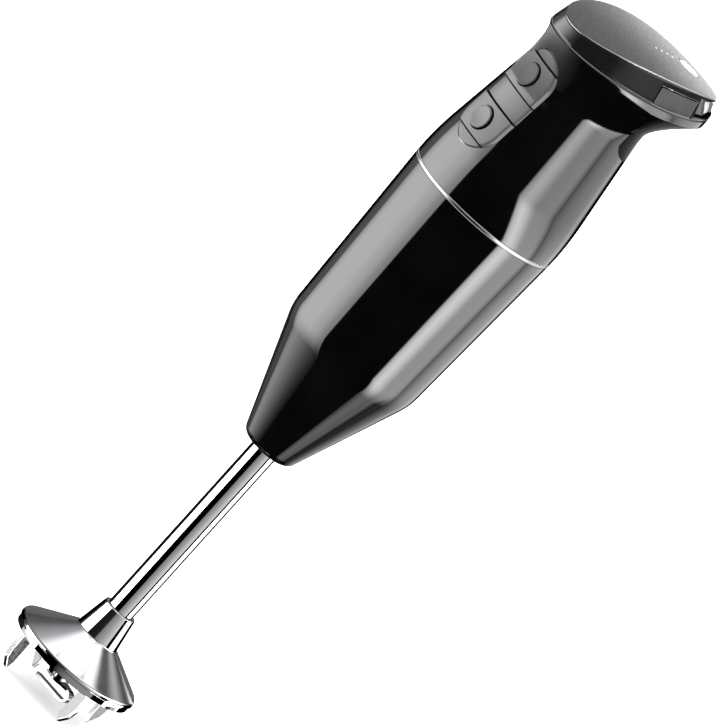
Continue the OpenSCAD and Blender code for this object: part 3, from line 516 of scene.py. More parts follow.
def prong(i):
    """A flat fin with soft edges, its point nearer the axis."""
    h, r = PRONG_HALF_W, PRONG_R
    tip, flat = -1.9 * MM, 0.5 * MM
    outline = rounded([
        (tip - flat, 0, 0.3 * MM), (tip + flat, 0, 0.3 * MM), (h - 1.1 * MM, 4.6 * MM, 4 * MM),
        (h, 9.6 * MM, 6 * MM), (h, bell_at(r + h) - MM), (-h, bell_at(r - h) - MM),
        (-h, 3.4 * MM, 3 * MM)], 8)
    place = (Matrix.Rotation(math.radians(PRONG_AZIMUTH + 90 * i), 4, "Z")
             @ Matrix.Translation((r, 0, 0))
             @ Matrix.Rotation(math.radians(PRONG_TURN), 4, "Z")
             @ Matrix.Rotation(math.pi / 2, 4, "X"))
    return prism(outline, -PRONG_HALF_T, PRONG_HALF_T, place, PRONG_EDGE, 4)


def tube(mats):
    inner = TUBE_R - MM
    profile = rounded([(TUBE_R, TUBE[0].z, 0.2 * MM), (TUBE_R, TUBE[1].z, 0.2 * MM),
                       (inner, TUBE[1].z), (inner, TUBE[0].z)], 3)
    as_piece("bright_tube", revolve(divided(profile, 20 * MM)), mats["chrome_tube"], "body",
             40, ["shaft_tube"])


# ---- body -------------------------------------------------------------------------

# Where the handle's outline turns in towards the neck, before it is rounded
BELLY_R = 38.5 * MM
BELLY_Z = 305.9 * MM


def housing(mats):
    bottom = CREASE_R - CONE_SLOPE * (CREASE_Z - HOUSING_Z)
    bore = TUBE_R + 0.05 * MM
    w = WALL + 0.1 * MM
    lip = RING_Z - 0.15 * MM
    profile = rounded([
        (bore, HOUSING_Z, 0.3 * MM), (bottom, HOUSING_Z, 5.5 * MM), (CREASE_R, CREASE_Z, 30 * MM),
        (BODY_R, lip, 0.2 * MM), (BODY_R - w, lip), (CREASE_R - w, CREASE_Z, 38 * MM),
        (bottom - w + 1.3 * MM, HOUSING_Z + 4 * MM), (bore, HOUSING_Z + 4 * MM)], 14)
    as_piece("lower_shell", revolve(divided(profile, 4 * MM)), mats["gloss_black"], "body",
             40, ["motor_housing"])


def trim(mats):
    inner = 34.4 * MM
    spigot = 35.4 * MM
    out = RING[1].x
    profile = rounded([
        (out, RING_Z, 0.25 * MM), (out, RING_TOP, 0.25 * MM), (spigot, RING_TOP), (spigot, RING[1].z),
        (inner, RING[1].z), (inner, RING[0].z), (spigot, RING[0].z), (spigot, RING_Z)], 4)
    as_piece("silver_ring", revolve(profile), mats["trim_silver"], "body", 35,
             ["trim_ring"])


def handle_side(d=0.0, n=18):
    """The handle's outline from the trim ring to the neck, moved out by d."""
    a, b = (BODY_R + d, RING_TOP + 0.1 * MM), (BELLY_R + d, BELLY_Z)
    neck = (NECK_R - 0.2 * MM + d, NECK_Z)
    belly_arc = corner(a, b, (NECK_R + d, NECK_Z - 3 * MM), 140 * MM, n)
    neck_arc = corner(b, neck, (NECK_R + 0.4 * MM + d, NECK_Z + 10 * MM), 40 * MM, 8)
    return [a] + belly_arc + neck_arc


def flare_ring(t, d):
    """Between the round neck (t = 0) and the oval under the seam (t = 1), drawn in by d."""
    out = []
    for a in angles():
        c, s = math.cos(a), math.sin(a)
        front = (1 - s) / 2
        w = t ** (1.3 + 1.1 * front)
        px, py = (NECK_R - d) * c, (NECK_R - d) * s
        qx, qy = (HEAD_B - d) * c, HEAD_Y + (HEAD_A - d) * s
        top = seam(qy) - flange_height(s)
        out.append((px * (1 - w) + qx * w, py * (1 - w) + qy * w, (NECK_Z + 3 * MM) * (1 - t) + top * t))
    return out


def flange_height(s):
    """The upright band under the seam: full at the rear (s = 1), almost nothing at the front."""
    rear = min(1.0, (1 + s) / 0.9)
    return FLANGE_H * (0.12 + 0.88 * rear * rear * (3 - 2 * rear))


def round_ring(r, z):
    return [(r * math.cos(a), r * math.sin(a), z) for a in angles()]


def seam_ring(d, rise):
    return [(x, y, seam(y) + rise) for x, y in oval(d)]


def handle(mats):
    side_out = divided(handle_side(0), 3 * MM, closed=False)
    side_in = divided(handle_side(-WALL), 6 * MM, closed=False)
    flare = np.linspace(0.06, 1, 18)
    soft = 0.5 * MM
    r0 = BODY_R
    base = RING_TOP + 0.1 * MM
    rings = [round_ring(r0 - WALL, base), round_ring(r0 - 0.2 * MM, base), round_ring(r0, base + 0.2 * MM)]
    rings += [round_ring(r, z) for r, z in side_out if z > base + 0.4 * MM]
    rings += [flare_ring(t, 0) for t in flare]
    for f in (0.1, 0.4, 0.7):
        rings.append([(x, y, seam(y) - soft - (flange_height((y - HEAD_Y) / HEAD_A) - soft) * (1 - f))
                      for x, y in oval(0)])
    for a in np.linspace(0, math.pi / 2, 5):
        rings.append(seam_ring(soft * (1 - math.cos(a)), -soft * (1 - math.sin(a))))
    rings.append(seam_ring(WALL, 0))
    rings += [flare_ring(t, WALL) for t in flare[::-3]]
    rings += [round_ring(r, z) for r, z in side_in[::-1]]
    o = as_piece("upper_shell", loft(rings, closed=True), mats["gloss_black"], "body", 40,
                 ["handle_shell"])
    cut(o, [cutter(prism(stadium(PAD_GAP), -PAD_RECESS, PAD_RECESS, PAD_FRAME))], 40)


# ---- button pad -------------------------------------------------------------------

PAD_TILT = math.radians(7.8)
PAD_W = 27 * MM
PAD_L = 55 * MM
PAD_GAP = 0.12 * MM       # round the pad, in the handle's recess
PAD_RECESS = 9 * MM
PAD_RISE = 0.45 * MM      # above the handle
PAD_SOFT = 0.9 * MM       # rounding of the pad's edge
PAD_SKIRT = 2.4 * MM      # how deep the pad goes below its edge
BUTTON_PITCH = 27.6 * MM
BUTTON_R = 5.7 * MM
BUTTON_TOP = 2.9 * MM
BUTTON_GAP = 0.42 * MM
LAND_L = 17 * MM          # the raised land under a button: its length, roof and end slopes
LAND_ROOF = 1.5 * MM
LAND_ROOF_R = 42 * MM
LAND_SLOPE = 0.5 * MM
LAND_SHADE_STRIP = 0.4 * MM     # half-width of the painted shade strip along each end of a land
PAD_FRAME = (Matrix.Translation((0, -33.6 * MM, 341.7 * MM))
             @ Matrix.Rotation(math.pi / 2 - PAD_TILT, 4, "X"))


def stadium(grow, n=24):
    """The pad's outline, grown all round."""
    r = PAD_W / 2 + grow
    h = PAD_L / 2 - PAD_W / 2
    top = [(r * math.cos(a), h + r * math.sin(a)) for a in np.linspace(0, math.pi, n + 1)]
    return top + [(-x, -y) for x, y in top]


def skin_height(x, y, d=0.0):
    """Height above the pad's frame of the handle's face, moved out by d, over local (x, y)."""
    z = 0.0
    for _ in range(4):
        p = PAD_FRAME @ Vector((x, y, z))
        r = side_radius(p.z) + d
        want = -math.sqrt(max(1e-9, r * r - p.x * p.x))
        z += (p.y - want) / math.cos(PAD_TILT)
    return z


SIDE = np.array(handle_side(0, 40))


def side_radius(z):
    """The handle's radius at that height."""
    return float(np.interp(z, SIDE[:, 1], SIDE[:, 0]))


def pad_height(x, y, edge):
    """Top of the pad: a soft skin over the handle, with a raised land under each button."""
    base = skin_height(x, y, PAD_RISE)
    roof = LAND_ROOF - LAND_ROOF_R + math.sqrt(max(1e-9, LAND_ROOF_R ** 2 - x * x))
    rise = 0.0
    for s in (-1, 1):
        off = abs(y - s * BUTTON_PITCH / 2) - LAND_L / 2
        rise = max(rise, min(1.0, max(0.0, -off / LAND_SLOPE + 0.5)))
    z = base + max(0.0, roof - base) * rise
    fall = max(0.0, 1 - edge / PAD_SOFT)
    return z - PAD_SOFT * (1 - math.sqrt(max(0.0, 1 - fall * fall)))


def button_pad(mats):
    """A grid over the pad's outline, closed below, with a hole round each button whose walls are painted
    shade.
    """
    half, length = PAD_W / 2 - PAD_GAP, PAD_L / 2 - PAD_GAP
    straight = length - half
    # Rows lie closer together at the pad's edge and at the ends of each land
    near_edge = [d * MM for d in (0, 0.02, 0.08, 0.2, 0.4, 0.65, 0.95, 1.5)]
    near_step = (-0.42, -0.28, -0.14, 0, 0.14, 0.28, 0.42)
    ys = [e * (length - d) for e in (-1, 1) for d in near_edge]
    ys += list(np.linspace(-length + 2 * MM, length - 2 * MM, 81))
    for s in (-1, 1):
        for end in (-1, 1):
            ys += [s * BUTTON_PITCH / 2 + end * LAND_L / 2 + d * MM for d in near_step]
    ys = sorted(ys)
    fs = [e * (1 - d / half) for e in (-1, 1) for d in near_edge] + list(np.linspace(-0.86, 0.86, 33))
    fs = sorted(set(fs))
    bm = bmesh.new()
    rows = []
    for y in ys:
        over = max(0.0, abs(y) - straight)
        wide = math.sqrt(max(0.0, half * half - over * over))
        row = []
        for f in fs:
            x = f * wide
            row.append(bm.verts.new((x, y, pad_height(x, y, half - math.hypot(x, over)))))
        rows.append(row)
    for p, q in zip(rows, rows[1:]):
        for i in range(len(fs) - 1):
            bm.faces.new([p[i], p[i + 1], q[i + 1], q[i]])
    bmesh.ops.remove_doubles(bm, verts=bm.verts, dist=1e-6)
    rim = [e for e in bm.edges if e.is_boundary]
    grown = bmesh.ops.extrude_edge_only(bm, edges=rim)["geom"]
    low = [v for v in grown if isinstance(v, bmesh.types.BMVert)]
    bmesh.ops.translate(bm, vec=(0, 0, -PAD_SKIRT), verts=low)
    bmesh.ops.holes_fill(bm, edges=[e for e in bm.edges if e.is_boundary], sides=0)
    bmesh.ops.triangulate(bm, faces=[f for f in bm.faces if len(f.verts) > 4])
    bmesh.ops.transform(bm, matrix=PAD_FRAME, verts=bm.verts)
    o = as_piece("soft_pad", bm, mats["pad_grey"], "body", 34, ["button_pad"])
    holes = []
    # Painted shade: the cut faces round each button take a near-black, glossless material
    for s in (-1, 1):
        ring = circle(BUTTON_R + BUTTON_GAP, 72, s * BUTTON_PITCH / 2)
        holes.append(cutter(prism(ring, -8 * MM, 8 * MM, PAD_FRAME), mats["painted_shade_grey"]))
    inverse = PAD_FRAME.inverted()

    def is_painted_shade_strip(p):
        y = abs((inverse @ p.center).y)
        step = min(abs(y - BUTTON_PITCH / 2 - LAND_L / 2), abs(y - BUTTON_PITCH / 2 + LAND_L / 2))
        return step < LAND_SHADE_STRIP

    # Painted shade: a near-black strip along each end of a land, where the land's step would shade the pad
    second_material(o, mats["painted_shade_grey"], is_painted_shade_strip)
    cut(o, holes, 34)


def button(mats, name, body, s):
    """The upper (s = 1) or lower (s = -1) key, with painted shade on its side and back. Node and body share
    a name.
    """
    r, top = BUTTON_R, BUTTON_TOP
    profile = rounded([(0, -4 * MM), (r, -4 * MM), (r, top - 0.1 * MM, 0.75 * MM),
                       (3.6 * MM, top - 0.25 * MM, 3 * MM), (0, top - 0.5 * MM)], 6)
    bm = revolve(profile, 72, closed=False)
    place = PAD_FRAME @ Matrix.Translation((0, s * BUTTON_PITCH / 2, 0))
    bmesh.ops.transform(bm, matrix=place, verts=bm.verts)
    o = as_piece(name, bm, mats["pad_grey"], body, 50, [body])
    outward = (PAD_FRAME.to_3x3() @ Vector((0, 0, 1))).normalized()
    # Painted shade: faces that don't face out from the pad are near-black, as the key's shaded side wall
    second_material(o, mats["painted_shade_grey"], lambda p: p.normal.dot(outward) < 0.35)


# ---- head -------------------------------------------------------------------------

# Openings in the head's wall: along Y, and upwards from 0 at the seam to 1 at the lid's edge
LATCH_Y0, LATCH_Y1 = 2.4 * MM, 28.8 * MM
LATCH_T0, LATCH_T1 = -0.12, 0.76
PORT_Y = 30.2 * MM
PORT_T0, PORT_T1 = 0.14, 0.9
# The gap round a latch, how far its face is sunk, its back, and the wall's height beside it
LATCH_GAP = 0.8 * MM
LATCH_SUNK = 0.15 * MM
LATCH_BACK = 1.6 * MM
LATCH_WALL_H = 11 * MM
# The lens and its hole, the charge lights, and the lid's slope at the lens
LENS_R = 5.3 * MM
LENS_HOLE_R = 5.75 * MM
LENS_TILT = math.radians(-3.2)
LED_R = 0.65 * MM
LED_COUNT = 4
# The bright chamfer round the lid
BEAD_R = 0.42 * MM
BEAD_SINK = 0.02 * MM


def window(y0, y1, side, t0, t1, corner_r, out=1.2 * MM, deep=3.4 * MM):
    """A block through the wall that follows it: between y0 and y1 and heights t0 to t1."""
    n = 10
    ys = (y0 + y1) / 2
    half_y, half_t = (y1 - y0) / 2, (t1 - t0) / 2
    height = lid_edge(ys) - seam(ys)
    outline = rounded([(-half_y, -half_t * height, corner_r), (half_y, -half_t * height, corner_r),
                       (half_y, half_t * height, corner_r), (-half_y, half_t * height, corner_r)], n)
    outline = divided(outline, 1.5 * MM)
    rings = []
    for d in (-out, deep):
        ring = []
        for a, b in outline:
            y = ys + a
            t = (t0 + t1) / 2 + b / height
            ring.append(wall_point(y, side, t, d))
        rings.append(ring)
    return loft(rings, caps=True)


def wall_point(y, side, t, d):
    """The point of the wall at that y, on the left (-1) or right (1)."""
    s0 = max(-1, min(1, (y - HEAD_Y) / (HEAD_A - d)))
    s1 = max(-1, min(1, (y - LID_Y) / (LID_A - d)))
    x0 = (HEAD_B - d) * math.sqrt(1 - s0 * s0)
    x1 = (LID_B - d) * math.sqrt(1 - s1 * s1)
    z0, z1 = seam(y) + SEAM_GAP, lid_edge(y)
    return (side * (x0 + (x1 - x0) * t), y, z0 + (z1 - z0) * t)


def port_block(t0, t1):
    """A block through the rear of the wall, behind PORT_Y."""
    rings = []
    start = math.asin((PORT_Y - HEAD_Y) / HEAD_A)
    arc = np.linspace(start, math.pi - start, 61)
    for d in (-1.2 * MM, 2.62 * MM):
        low, high = [], []
        for a in arc:
            c, s = math.cos(a), math.sin(a)
            p0 = np.array([(HEAD_B - d) * c, HEAD_Y + (HEAD_A - d) * s])
            p1 = np.array([(LID_B - d) * c, LID_Y + (LID_A - d) * s])
            z0, z1 = seam(p0[1]) + SEAM_GAP, lid_edge(p1[1])
            for t, edge in ((t0, low), (t1, high)):
                edge.append((*(p0 + (p1 - p0) * t), z0 + (z1 - z0) * t))
        rings.append(low + high[::-1])
    bm = bmesh.new()
    outer = [bm.verts.new(p) for p in rings[0]]
    inner = [bm.verts.new(p) for p in rings[1]]
    skin(bm, [outer, inner])
    n = len(arc)
    for ring, flip in ((outer, False), (inner, True)):
        for i in range(n - 1):
            quad = [ring[i], ring[i + 1], ring[2 * n - 2 - i], ring[2 * n - 1 - i]]
            bm.faces.new(quad[::-1] if flip else quad)
    return bm


def cap_ring(mats):
    """The head's wall, with the latch openings and the one at the rear, their cut faces painted shade."""
    soft = 0.35 * MM
    rings = [wall_ring(0, CAP_WALL), wall_ring(0, soft)]
    rings += [wall_ring(0.03, 0.1 * MM), wall_ring(0.07, 0)]
    rings += [wall_ring(t, 0) for t in np.linspace(0.15, 0.97, 12)]
    rings += [wall_ring(1, 0.15 * MM), wall_ring(1, CAP_WALL), wall_ring(0.5, CAP_WALL)]
    o = as_piece("head_wall", loft(rings, closed=True), mats["cap_black"], "battery_pack",
                 35, ["cap_ring"])
    # Painted shade: the cut faces of the openings take a near-black, glossless material
    dark = mats["shadow_black"]
    tools = [cutter(window(LATCH_Y0, LATCH_Y1, side, LATCH_T0, LATCH_T1, 1.1 * MM), dark)
             for side in (-1, 1)]
    tools.append(cutter(port_block(PORT_T0, PORT_T1), dark))
    cut(o, tools, 35)


def latch(mats, name, body, side):
    """The right (side = 1) or left (-1) catch, with painted shade on all but its face. Node and body share
    a name.
    """
    bm = window(LATCH_Y0 + LATCH_GAP, LATCH_Y1 - LATCH_GAP, side, 0.05,
                LATCH_T1 - LATCH_GAP / LATCH_WALL_H, 0.8 * MM, -LATCH_SUNK, LATCH_BACK)
    edges = [e for e in bm.edges if e.calc_face_angle(0) > 1.0]
    bmesh.ops.bevel(bm, geom=edges, offset=0.12 * MM, segments=2, profile=0.5, affect="EDGES")
    o = as_piece(name, bm, mats["latch_black"], body, 35, [body])
    # Painted shade: the sides and back are near-black, so the gap round the catch reads dark
    second_material(o, mats["shadow_black"], lambda p: p.normal.x * side < 0.5)


def lid_ring(k, rise, d=0.0):
    """The lid's outline scaled by k, drawn in by d and raised above its edge."""
    return [(x, y, lid_edge(y) + rise) for x, y in oval(d, LID_B * k, LID_A * k, LID_Y)]


def lid(mats):
    step = 0.35 * MM
    edge = 0.3 * MM
    rings = [lid_ring(0.02, -1.6 * MM), lid_ring(1, -1.6 * MM, CAP_WALL + 0.1 * MM),
             lid_ring(1, 0.05 * MM, CAP_WALL + 0.1 * MM), lid_ring(1, 0.05 * MM, 0.25 * MM)]
    for a in np.linspace(0.2, math.pi / 2, 5):
        rings.append(lid_ring(1, 0.05 * MM + edge * math.sin(a), 0.1 * MM + edge * (1 - math.cos(a))))
    for k in np.linspace(0.975, 0.02, 40):
        rings.append(lid_ring(k, step + (LID_CROWN - step) * (1 - k * k)))
    o = as_piece("top_cover", loft(rings, caps=True), mats["lid_grey"], "battery_pack", 30,
                 ["lid_plate"])
    # Painted shade: the wall of the hole round the lens takes a near-black, glossless material
    tools = [cutter(prism(circle(LENS_HOLE_R, 96), -5 * MM, 5 * MM, lens_place()),
                    mats["shadow_black"])]
    for y in led_rows():
        tools.append(cutter(prism(circle(LED_R, 24), lid_edge(y) - 5 * MM, lid_edge(y) + 5 * MM,
                                  Matrix.Translation((0, y, 0)))))
    cut(o, tools, 30)


def lid_bead(mats):
    """The bright chamfer round the lid."""
    rings = []
    for a in np.linspace(-0.15, math.pi / 2, 9):
        rise = BEAD_SINK + BEAD_R * math.sin(a)
        rings.append(lid_ring(1, rise, BEAD_R * (1 - math.cos(a)) - BEAD_SINK))
    rings.append(lid_ring(1, BEAD_SINK, 0.6 * MM))
    as_piece("cover_edge", loft(rings, closed=True), mats["edge_bright"], "battery_pack", 50)


def led_rows():
    """Where the charge lights stand along Y."""
    low, high = LEDS[0].y + 0.6 * MM, LEDS[1].y - 0.6 * MM
    return [low + (high - low) * i / (LED_COUNT - 1) for i in range(LED_COUNT)]


def lens_place():
    c = (LENS[0] + LENS[1]) / 2
    return Matrix.Translation((0, c.y, LENS[1].z)) @ Matrix.Rotation(LENS_TILT, 4, "X")


def lens(mats):
    """The round status light, sunk a little below the lid."""
    base = -2.4 * MM
    profile = rounded([(0, base), (LENS_R, base), (LENS_R, -0.35 * MM, 0.3 * MM), (0, -0.2 * MM)], 5)
    bm = revolve(divided(profile, 1.5 * MM, closed=False), 96, closed=False)
    bmesh.ops.transform(bm, matrix=lens_place(), verts=bm.verts)
    as_piece("status_light", bm, mats["lens_white"], "battery_pack", 40, ["status_lens"])


# ---- studio -----------------------------------------------------------------------

CAMERA_AZIMUTH = math.radians(46)
CAMERA_HEIGHT = 12.7      # degrees above the horizon
CAMERA_ELEVATION = math.radians(CAMERA_HEIGHT)
CAMERA_DISTANCE = 7.0
CAMERA_ROLL = math.radians(42.05)
AIM_HEIGHT = 0.205
AIM_SIDE = 0.0056
FRAME_HEIGHT = 0.317
SENSOR = 36.0


def camera_axes():
    """Right, up and backwards for a camera that stands upright."""
    a, e = CAMERA_AZIMUTH, CAMERA_ELEVATION
    back = Vector((math.sin(a) * math.cos(e), -math.cos(a) * math.cos(e), math.sin(e)))
    right = Vector((math.cos(a), math.sin(a), 0))
    return right, back.cross(right), back


def camera():
    right, up, back = camera_axes()
    c, s = math.cos(CAMERA_ROLL), math.sin(CAMERA_ROLL)
    x, y = right * c + up * s, up * c - right * s
    data = bpy.data.cameras.new("camera")
    data.sensor_width = SENSOR
    data.lens = SENSOR * CAMERA_DISTANCE / FRAME_HEIGHT
    data.clip_end = 100
    o = bpy.data.objects.new("camera", data)
    place = Matrix((x, y, back)).transposed().to_4x4()
    place.translation = Vector((0, 0, AIM_HEIGHT)) + right * AIM_SIDE + back * CAMERA_DISTANCE
    o.matrix_world = place
    bpy.context.scene.collection.objects.link(o)
    bpy.context.scene.camera = o


# Directions below are in degrees. Turns go to the right from CAMERA_AZIMUTH, and other views
# leave them where they are. Glossy surfaces see the panels, all others a soft light, and the
# camera a white background.

# Brightness round the object by turn, set after the highlights in the photo: a broad
# soft panel on the left, a strip and a panel on the right, dark between them
SIDE_PANELS = [
    (-180, 0.0), (-152, 0.0), (-146, 0.25), (-127, 0.6), (-124, 2.6), (-112, 5.5), (-96, 7.6), (-80, 8.9),
    (-62, 7.8), (-52, 5.2), (-46.5, 4.6), (-45.6, 0.0), (46.4, 0.0), (47.6, 4.0), (50, 10.4), (58, 14.6),
    (66, 11.4), (72, 7.6), (76, 5.9), (97, 4.9), (103, 2.6), (106, 1.2), (109.5, 2.1), (121, 2.6),
    (140, 1.9), (150, 2.0), (155, 1.0), (158, 0.0), (180, 0.0)]
# Brightness overhead by height above the horizon, on the left and on the right
OVERHEAD_LEFT = [(0, 0.0), (8, 0.02), (20, 0.05), (36, 0.12), (55, 0.5), (62, 1.3), (68, 2.2), (90, 2.4)]
OVERHEAD_RIGHT = [(0, 0.0), (8, 0.05), (26, 0.1), (36, 0.45), (43, 0.4), (49, 0.1), (58, 0.12), (64, 1.6),
                  (69, 2.4), (90, 2.6)]
# Glow that the head's upright wall sees on the right, by turn
WALL_GLOW = [(-180, 0.0), (30, 0.0), (62, 2.2), (88, 4.2), (120, 3.4), (150, 0.0), (180, 0.0)]
PEAK = 16.0               # at least the brightest stop of SIDE_PANELS and WALL_GLOW
OVERHEAD_PEAK = 3.0

# The panels lean with height on the right, from the height that upright surfaces reflect
LEVEL = -CAMERA_HEIGHT
RIGHT_SIDE = (0, 20)
LEAN_ABOVE, LEAN_BELOW, LEAN_LIMIT = 1.45, 0.42, 16.0
# Heights between which the panels fade in from below, in front and behind, and out above
LOW_FADE = (-56, -18)
REAR_LOW_FADE = (-42, -12)
REAR_TURN = (92, 104)
HIGH_FADE, HIGH_LOSS = (-1, 9), 0.98
HIGH_END = (34, 46)
OVERHEAD_MIX = (-30, 30)
# A backdrop behind the object, and the heights of WALL_GLOW
BACKDROP_TURN, BACKDROP_LOW, BACKDROP_HIGH, BACKDROP_GLOW = (158, 168), (-9, -2), (10, 26), 2.6
WALL_GLOW_LOW, WALL_GLOW_HIGH = (14, 22), (34, 44)
# The soft light: from the left, from the right, from above and from everywhere
SOFT_LEFT, SOFT_LEFT_GLOW = (-20, -70), 2.1
SOFT_RIGHT, SOFT_RIGHT_GLOW = (30, 90), 0.9
SOFT_TOP, SOFT_TOP_GLOW = (30, 62), 1.9
SOFT_ALL = 0.12
BACKGROUND = 1.2


class Field:
    """Small node maths for the studio's world and cards."""

    def __init__(self, tree):
        self.nodes, self.links = tree.nodes, tree.links

    def math(self, op, a, b=0.0):
        n = self.nodes.new("ShaderNodeMath")
        n.operation = op
        for socket, value in zip(n.inputs, (a, b)):
            if isinstance(value, (int, float)):
                socket.default_value = value
            else:
                self.links.new(value, socket)
        return n.outputs[0]

    def times(self, a, b):
        return self.math("MULTIPLY", a, b)

    def plus(self, a, b):
        return self.math("ADD", a, b)

    def rest_of(self, value):
        """1 - value"""
        return self.math("SUBTRACT", 1.0, value)

    def dot(self, vector, direction):
        n = self.nodes.new("ShaderNodeVectorMath")
        n.operation = "DOT_PRODUCT"
        self.links.new(vector, n.inputs[0])
        n.inputs[1].default_value = direction
        return n.outputs["Value"]

    def turn(self, place):
        """Degrees to the right of CAMERA_AZIMUTH, about the vertical axis."""
        a = CAMERA_AZIMUTH
        front = self.dot(place, (math.sin(a), -math.cos(a), 0))
        right = self.dot(place, (math.cos(a), math.sin(a), 0))
        return self.times(self.math("ARCTAN2", right, front), 180 / math.pi)

    def curve(self, value, stops, low, high, peak):
        """A piecewise straight curve through the stops, none of them above peak."""
        n = self.nodes.new("ShaderNodeValToRGB")
        ramp = n.color_ramp
        ramp.interpolation = "LINEAR"
        while len(ramp.elements) < len(stops):
            ramp.elements.new(0.5)
        for e, (x, y) in zip(ramp.elements, stops):
            e.position = (x - low) / (high - low)
            e.color = (y / peak, y / peak, y / peak, 1)
        scaled = self.times(self.math("SUBTRACT", value, low), 1 / (high - low))
        self.links.new(scaled, n.inputs["Fac"])
        return self.times(n.outputs["Color"], peak)

    def step(self, value, low, high):
        """Rises smoothly from 0 at low to 1 at high."""
        n = self.nodes.new("ShaderNodeMapRange")
        n.interpolation_type = "SMOOTHSTEP"
        n.inputs["From Min"].default_value = low
        n.inputs["From Max"].default_value = high
        self.links.new(value, n.inputs["Value"])
        return n.outputs["Result"]


def side_panels(f, turn, height):
    """The panels round the object, as glossy surfaces see them."""
    above = f.math("MAXIMUM", f.math("SUBTRACT", height, LEVEL), 0.0)
    below = f.math("MAXIMUM", f.math("SUBTRACT", LEVEL, height), 0.0)
    lean = f.math("SUBTRACT", f.times(f.math("MINIMUM", above, LEAN_LIMIT), LEAN_ABOVE),
                  f.times(below, LEAN_BELOW))
    turned = f.plus(turn, f.times(lean, f.step(turn, *RIGHT_SIDE)))
    rear = f.step(turn, *REAR_TURN)
    fade = f.plus(f.times(f.step(height, *LOW_FADE), f.rest_of(rear)),
                  f.times(f.step(height, *REAR_LOW_FADE), rear))
    high_fade = f.rest_of(f.times(f.step(height, *HIGH_FADE), HIGH_LOSS))
    high_end = f.rest_of(f.step(height, *HIGH_END))
    panels = f.curve(turned, SIDE_PANELS, -180, 180, PEAK)
    return f.times(f.times(panels, fade), f.times(high_fade, high_end))


def overhead(f, turn, height):
    left = f.curve(height, OVERHEAD_LEFT, 0, 90, OVERHEAD_PEAK)
    right = f.curve(height, OVERHEAD_RIGHT, 0, 90, OVERHEAD_PEAK)
    mix = f.step(turn, *OVERHEAD_MIX)
    return f.plus(f.times(left, f.rest_of(mix)), f.times(right, mix))


def band(f, height, low, high):
    """1 between two heights, with soft ends."""
    return f.times(f.step(height, *low), f.rest_of(f.step(height, *high)))


def soft_light(f, turn, height):
    """What surfaces that aren't glossy receive."""
    left = f.times(f.step(turn, *SOFT_LEFT), SOFT_LEFT_GLOW)
    right = f.times(f.step(turn, *SOFT_RIGHT), SOFT_RIGHT_GLOW)
    top = f.times(f.step(height, *SOFT_TOP), SOFT_TOP_GLOW)
    return f.plus(f.plus(left, right), f.plus(top, SOFT_ALL))


def studio_world():
    world = bpy.data.worlds.new("studio")
    bpy.context.scene.world = world
    world.use_nodes = True
    f = Field(world.node_tree)
    background = f.nodes["Background"]
    direction = f.nodes.new("ShaderNodeTexCoord").outputs["Generated"]
    turn = f.turn(direction)
    height = f.times(f.math("ARCSINE", f.dot(direction, (0, 0, 1))), 180 / math.pi)
    behind = f.step(f.math("ABSOLUTE", turn), *BACKDROP_TURN)
    backdrop = f.times(f.times(band(f, height, BACKDROP_LOW, BACKDROP_HIGH), behind), BACKDROP_GLOW)
    wall = f.times(band(f, height, WALL_GLOW_LOW, WALL_GLOW_HIGH),
                   f.curve(turn, WALL_GLOW, -180, 180, PEAK))
    gloss = f.plus(f.plus(side_panels(f, turn, height), overhead(f, turn, height)),
                   f.plus(backdrop, wall))
    path = f.nodes.new("ShaderNodeLightPath")
    is_gloss = path.outputs["Is Glossy Ray"]
    strength = f.plus(f.times(gloss, is_gloss),
                      f.times(f.rest_of(is_gloss), soft_light(f, turn, height)))
    strength = f.math("MAXIMUM", strength, f.times(path.outputs["Is Camera Ray"], BACKGROUND))
    f.links.new(strength, background.inputs["Strength"])
    background.inputs["Color"].default_value = (1, 1, 1, 1)


# Reflector cards, which show only in reflections, with their brightness by turn. Those for the
# tube, the rim and the edges show in mirror-bright metal alone, the others in every glossy
# surface. First the tube's, the rim's and the prongs' cards:
TUBE_CARD = [(-2, 0.0), (0, 0.22), (30, 0.42), (62, 0.72), (65, 0.95), (67, 0.0), (84, 0.0)]
RIM_LEFT_CARD = [(-61, 0.0), (-36, 0.0)]
RIM_CARD = [(-16, 0.02), (8, 0.24), (56, 0.34), (59, 0.0), (83, 0.0)]
PRONG_CARD = [(85, 0.01), (96, 0.06)]
FAR_PRONG_CARD = [(96.5, 0.5), (108, 0.6)]
WHITE_PRONG_CARD = [(-102, 0.75), (-84, 0.95), (-58, 0.85)]
PRONG_EDGE_CARD = [(-152, 0.0), (-104, 0.02)]
# Dark surroundings beside and behind the object, which draw the outlines of the bright metal
LEFT_EDGE_CARD = [(-152, 0.0), (-118, 0.0), (-110, 0.08), (-99, 0.12)]
RIGHT_EDGE_CARD = [(122, 0.0), (152, 0.0)]
REAR_LEFT_CARD = [(-180, 0.16), (-152, 0.14)]
REAR_RIGHT_CARD = [(158, 0.14), (180, 0.16)]
# What the underside of the head sees
HEAD_LEFT_CARD = [(-142, 0.5), (-110, 0.8), (-60, 0.8), (-38, 0.3), (-20, 0.0)]
HEAD_RIGHT_CARD = [(-20, 0.0), (80, 0.0), (92, 0.2)]
HEAD_REAR_CARD = [(92, 0.2), (142, 0.5)]

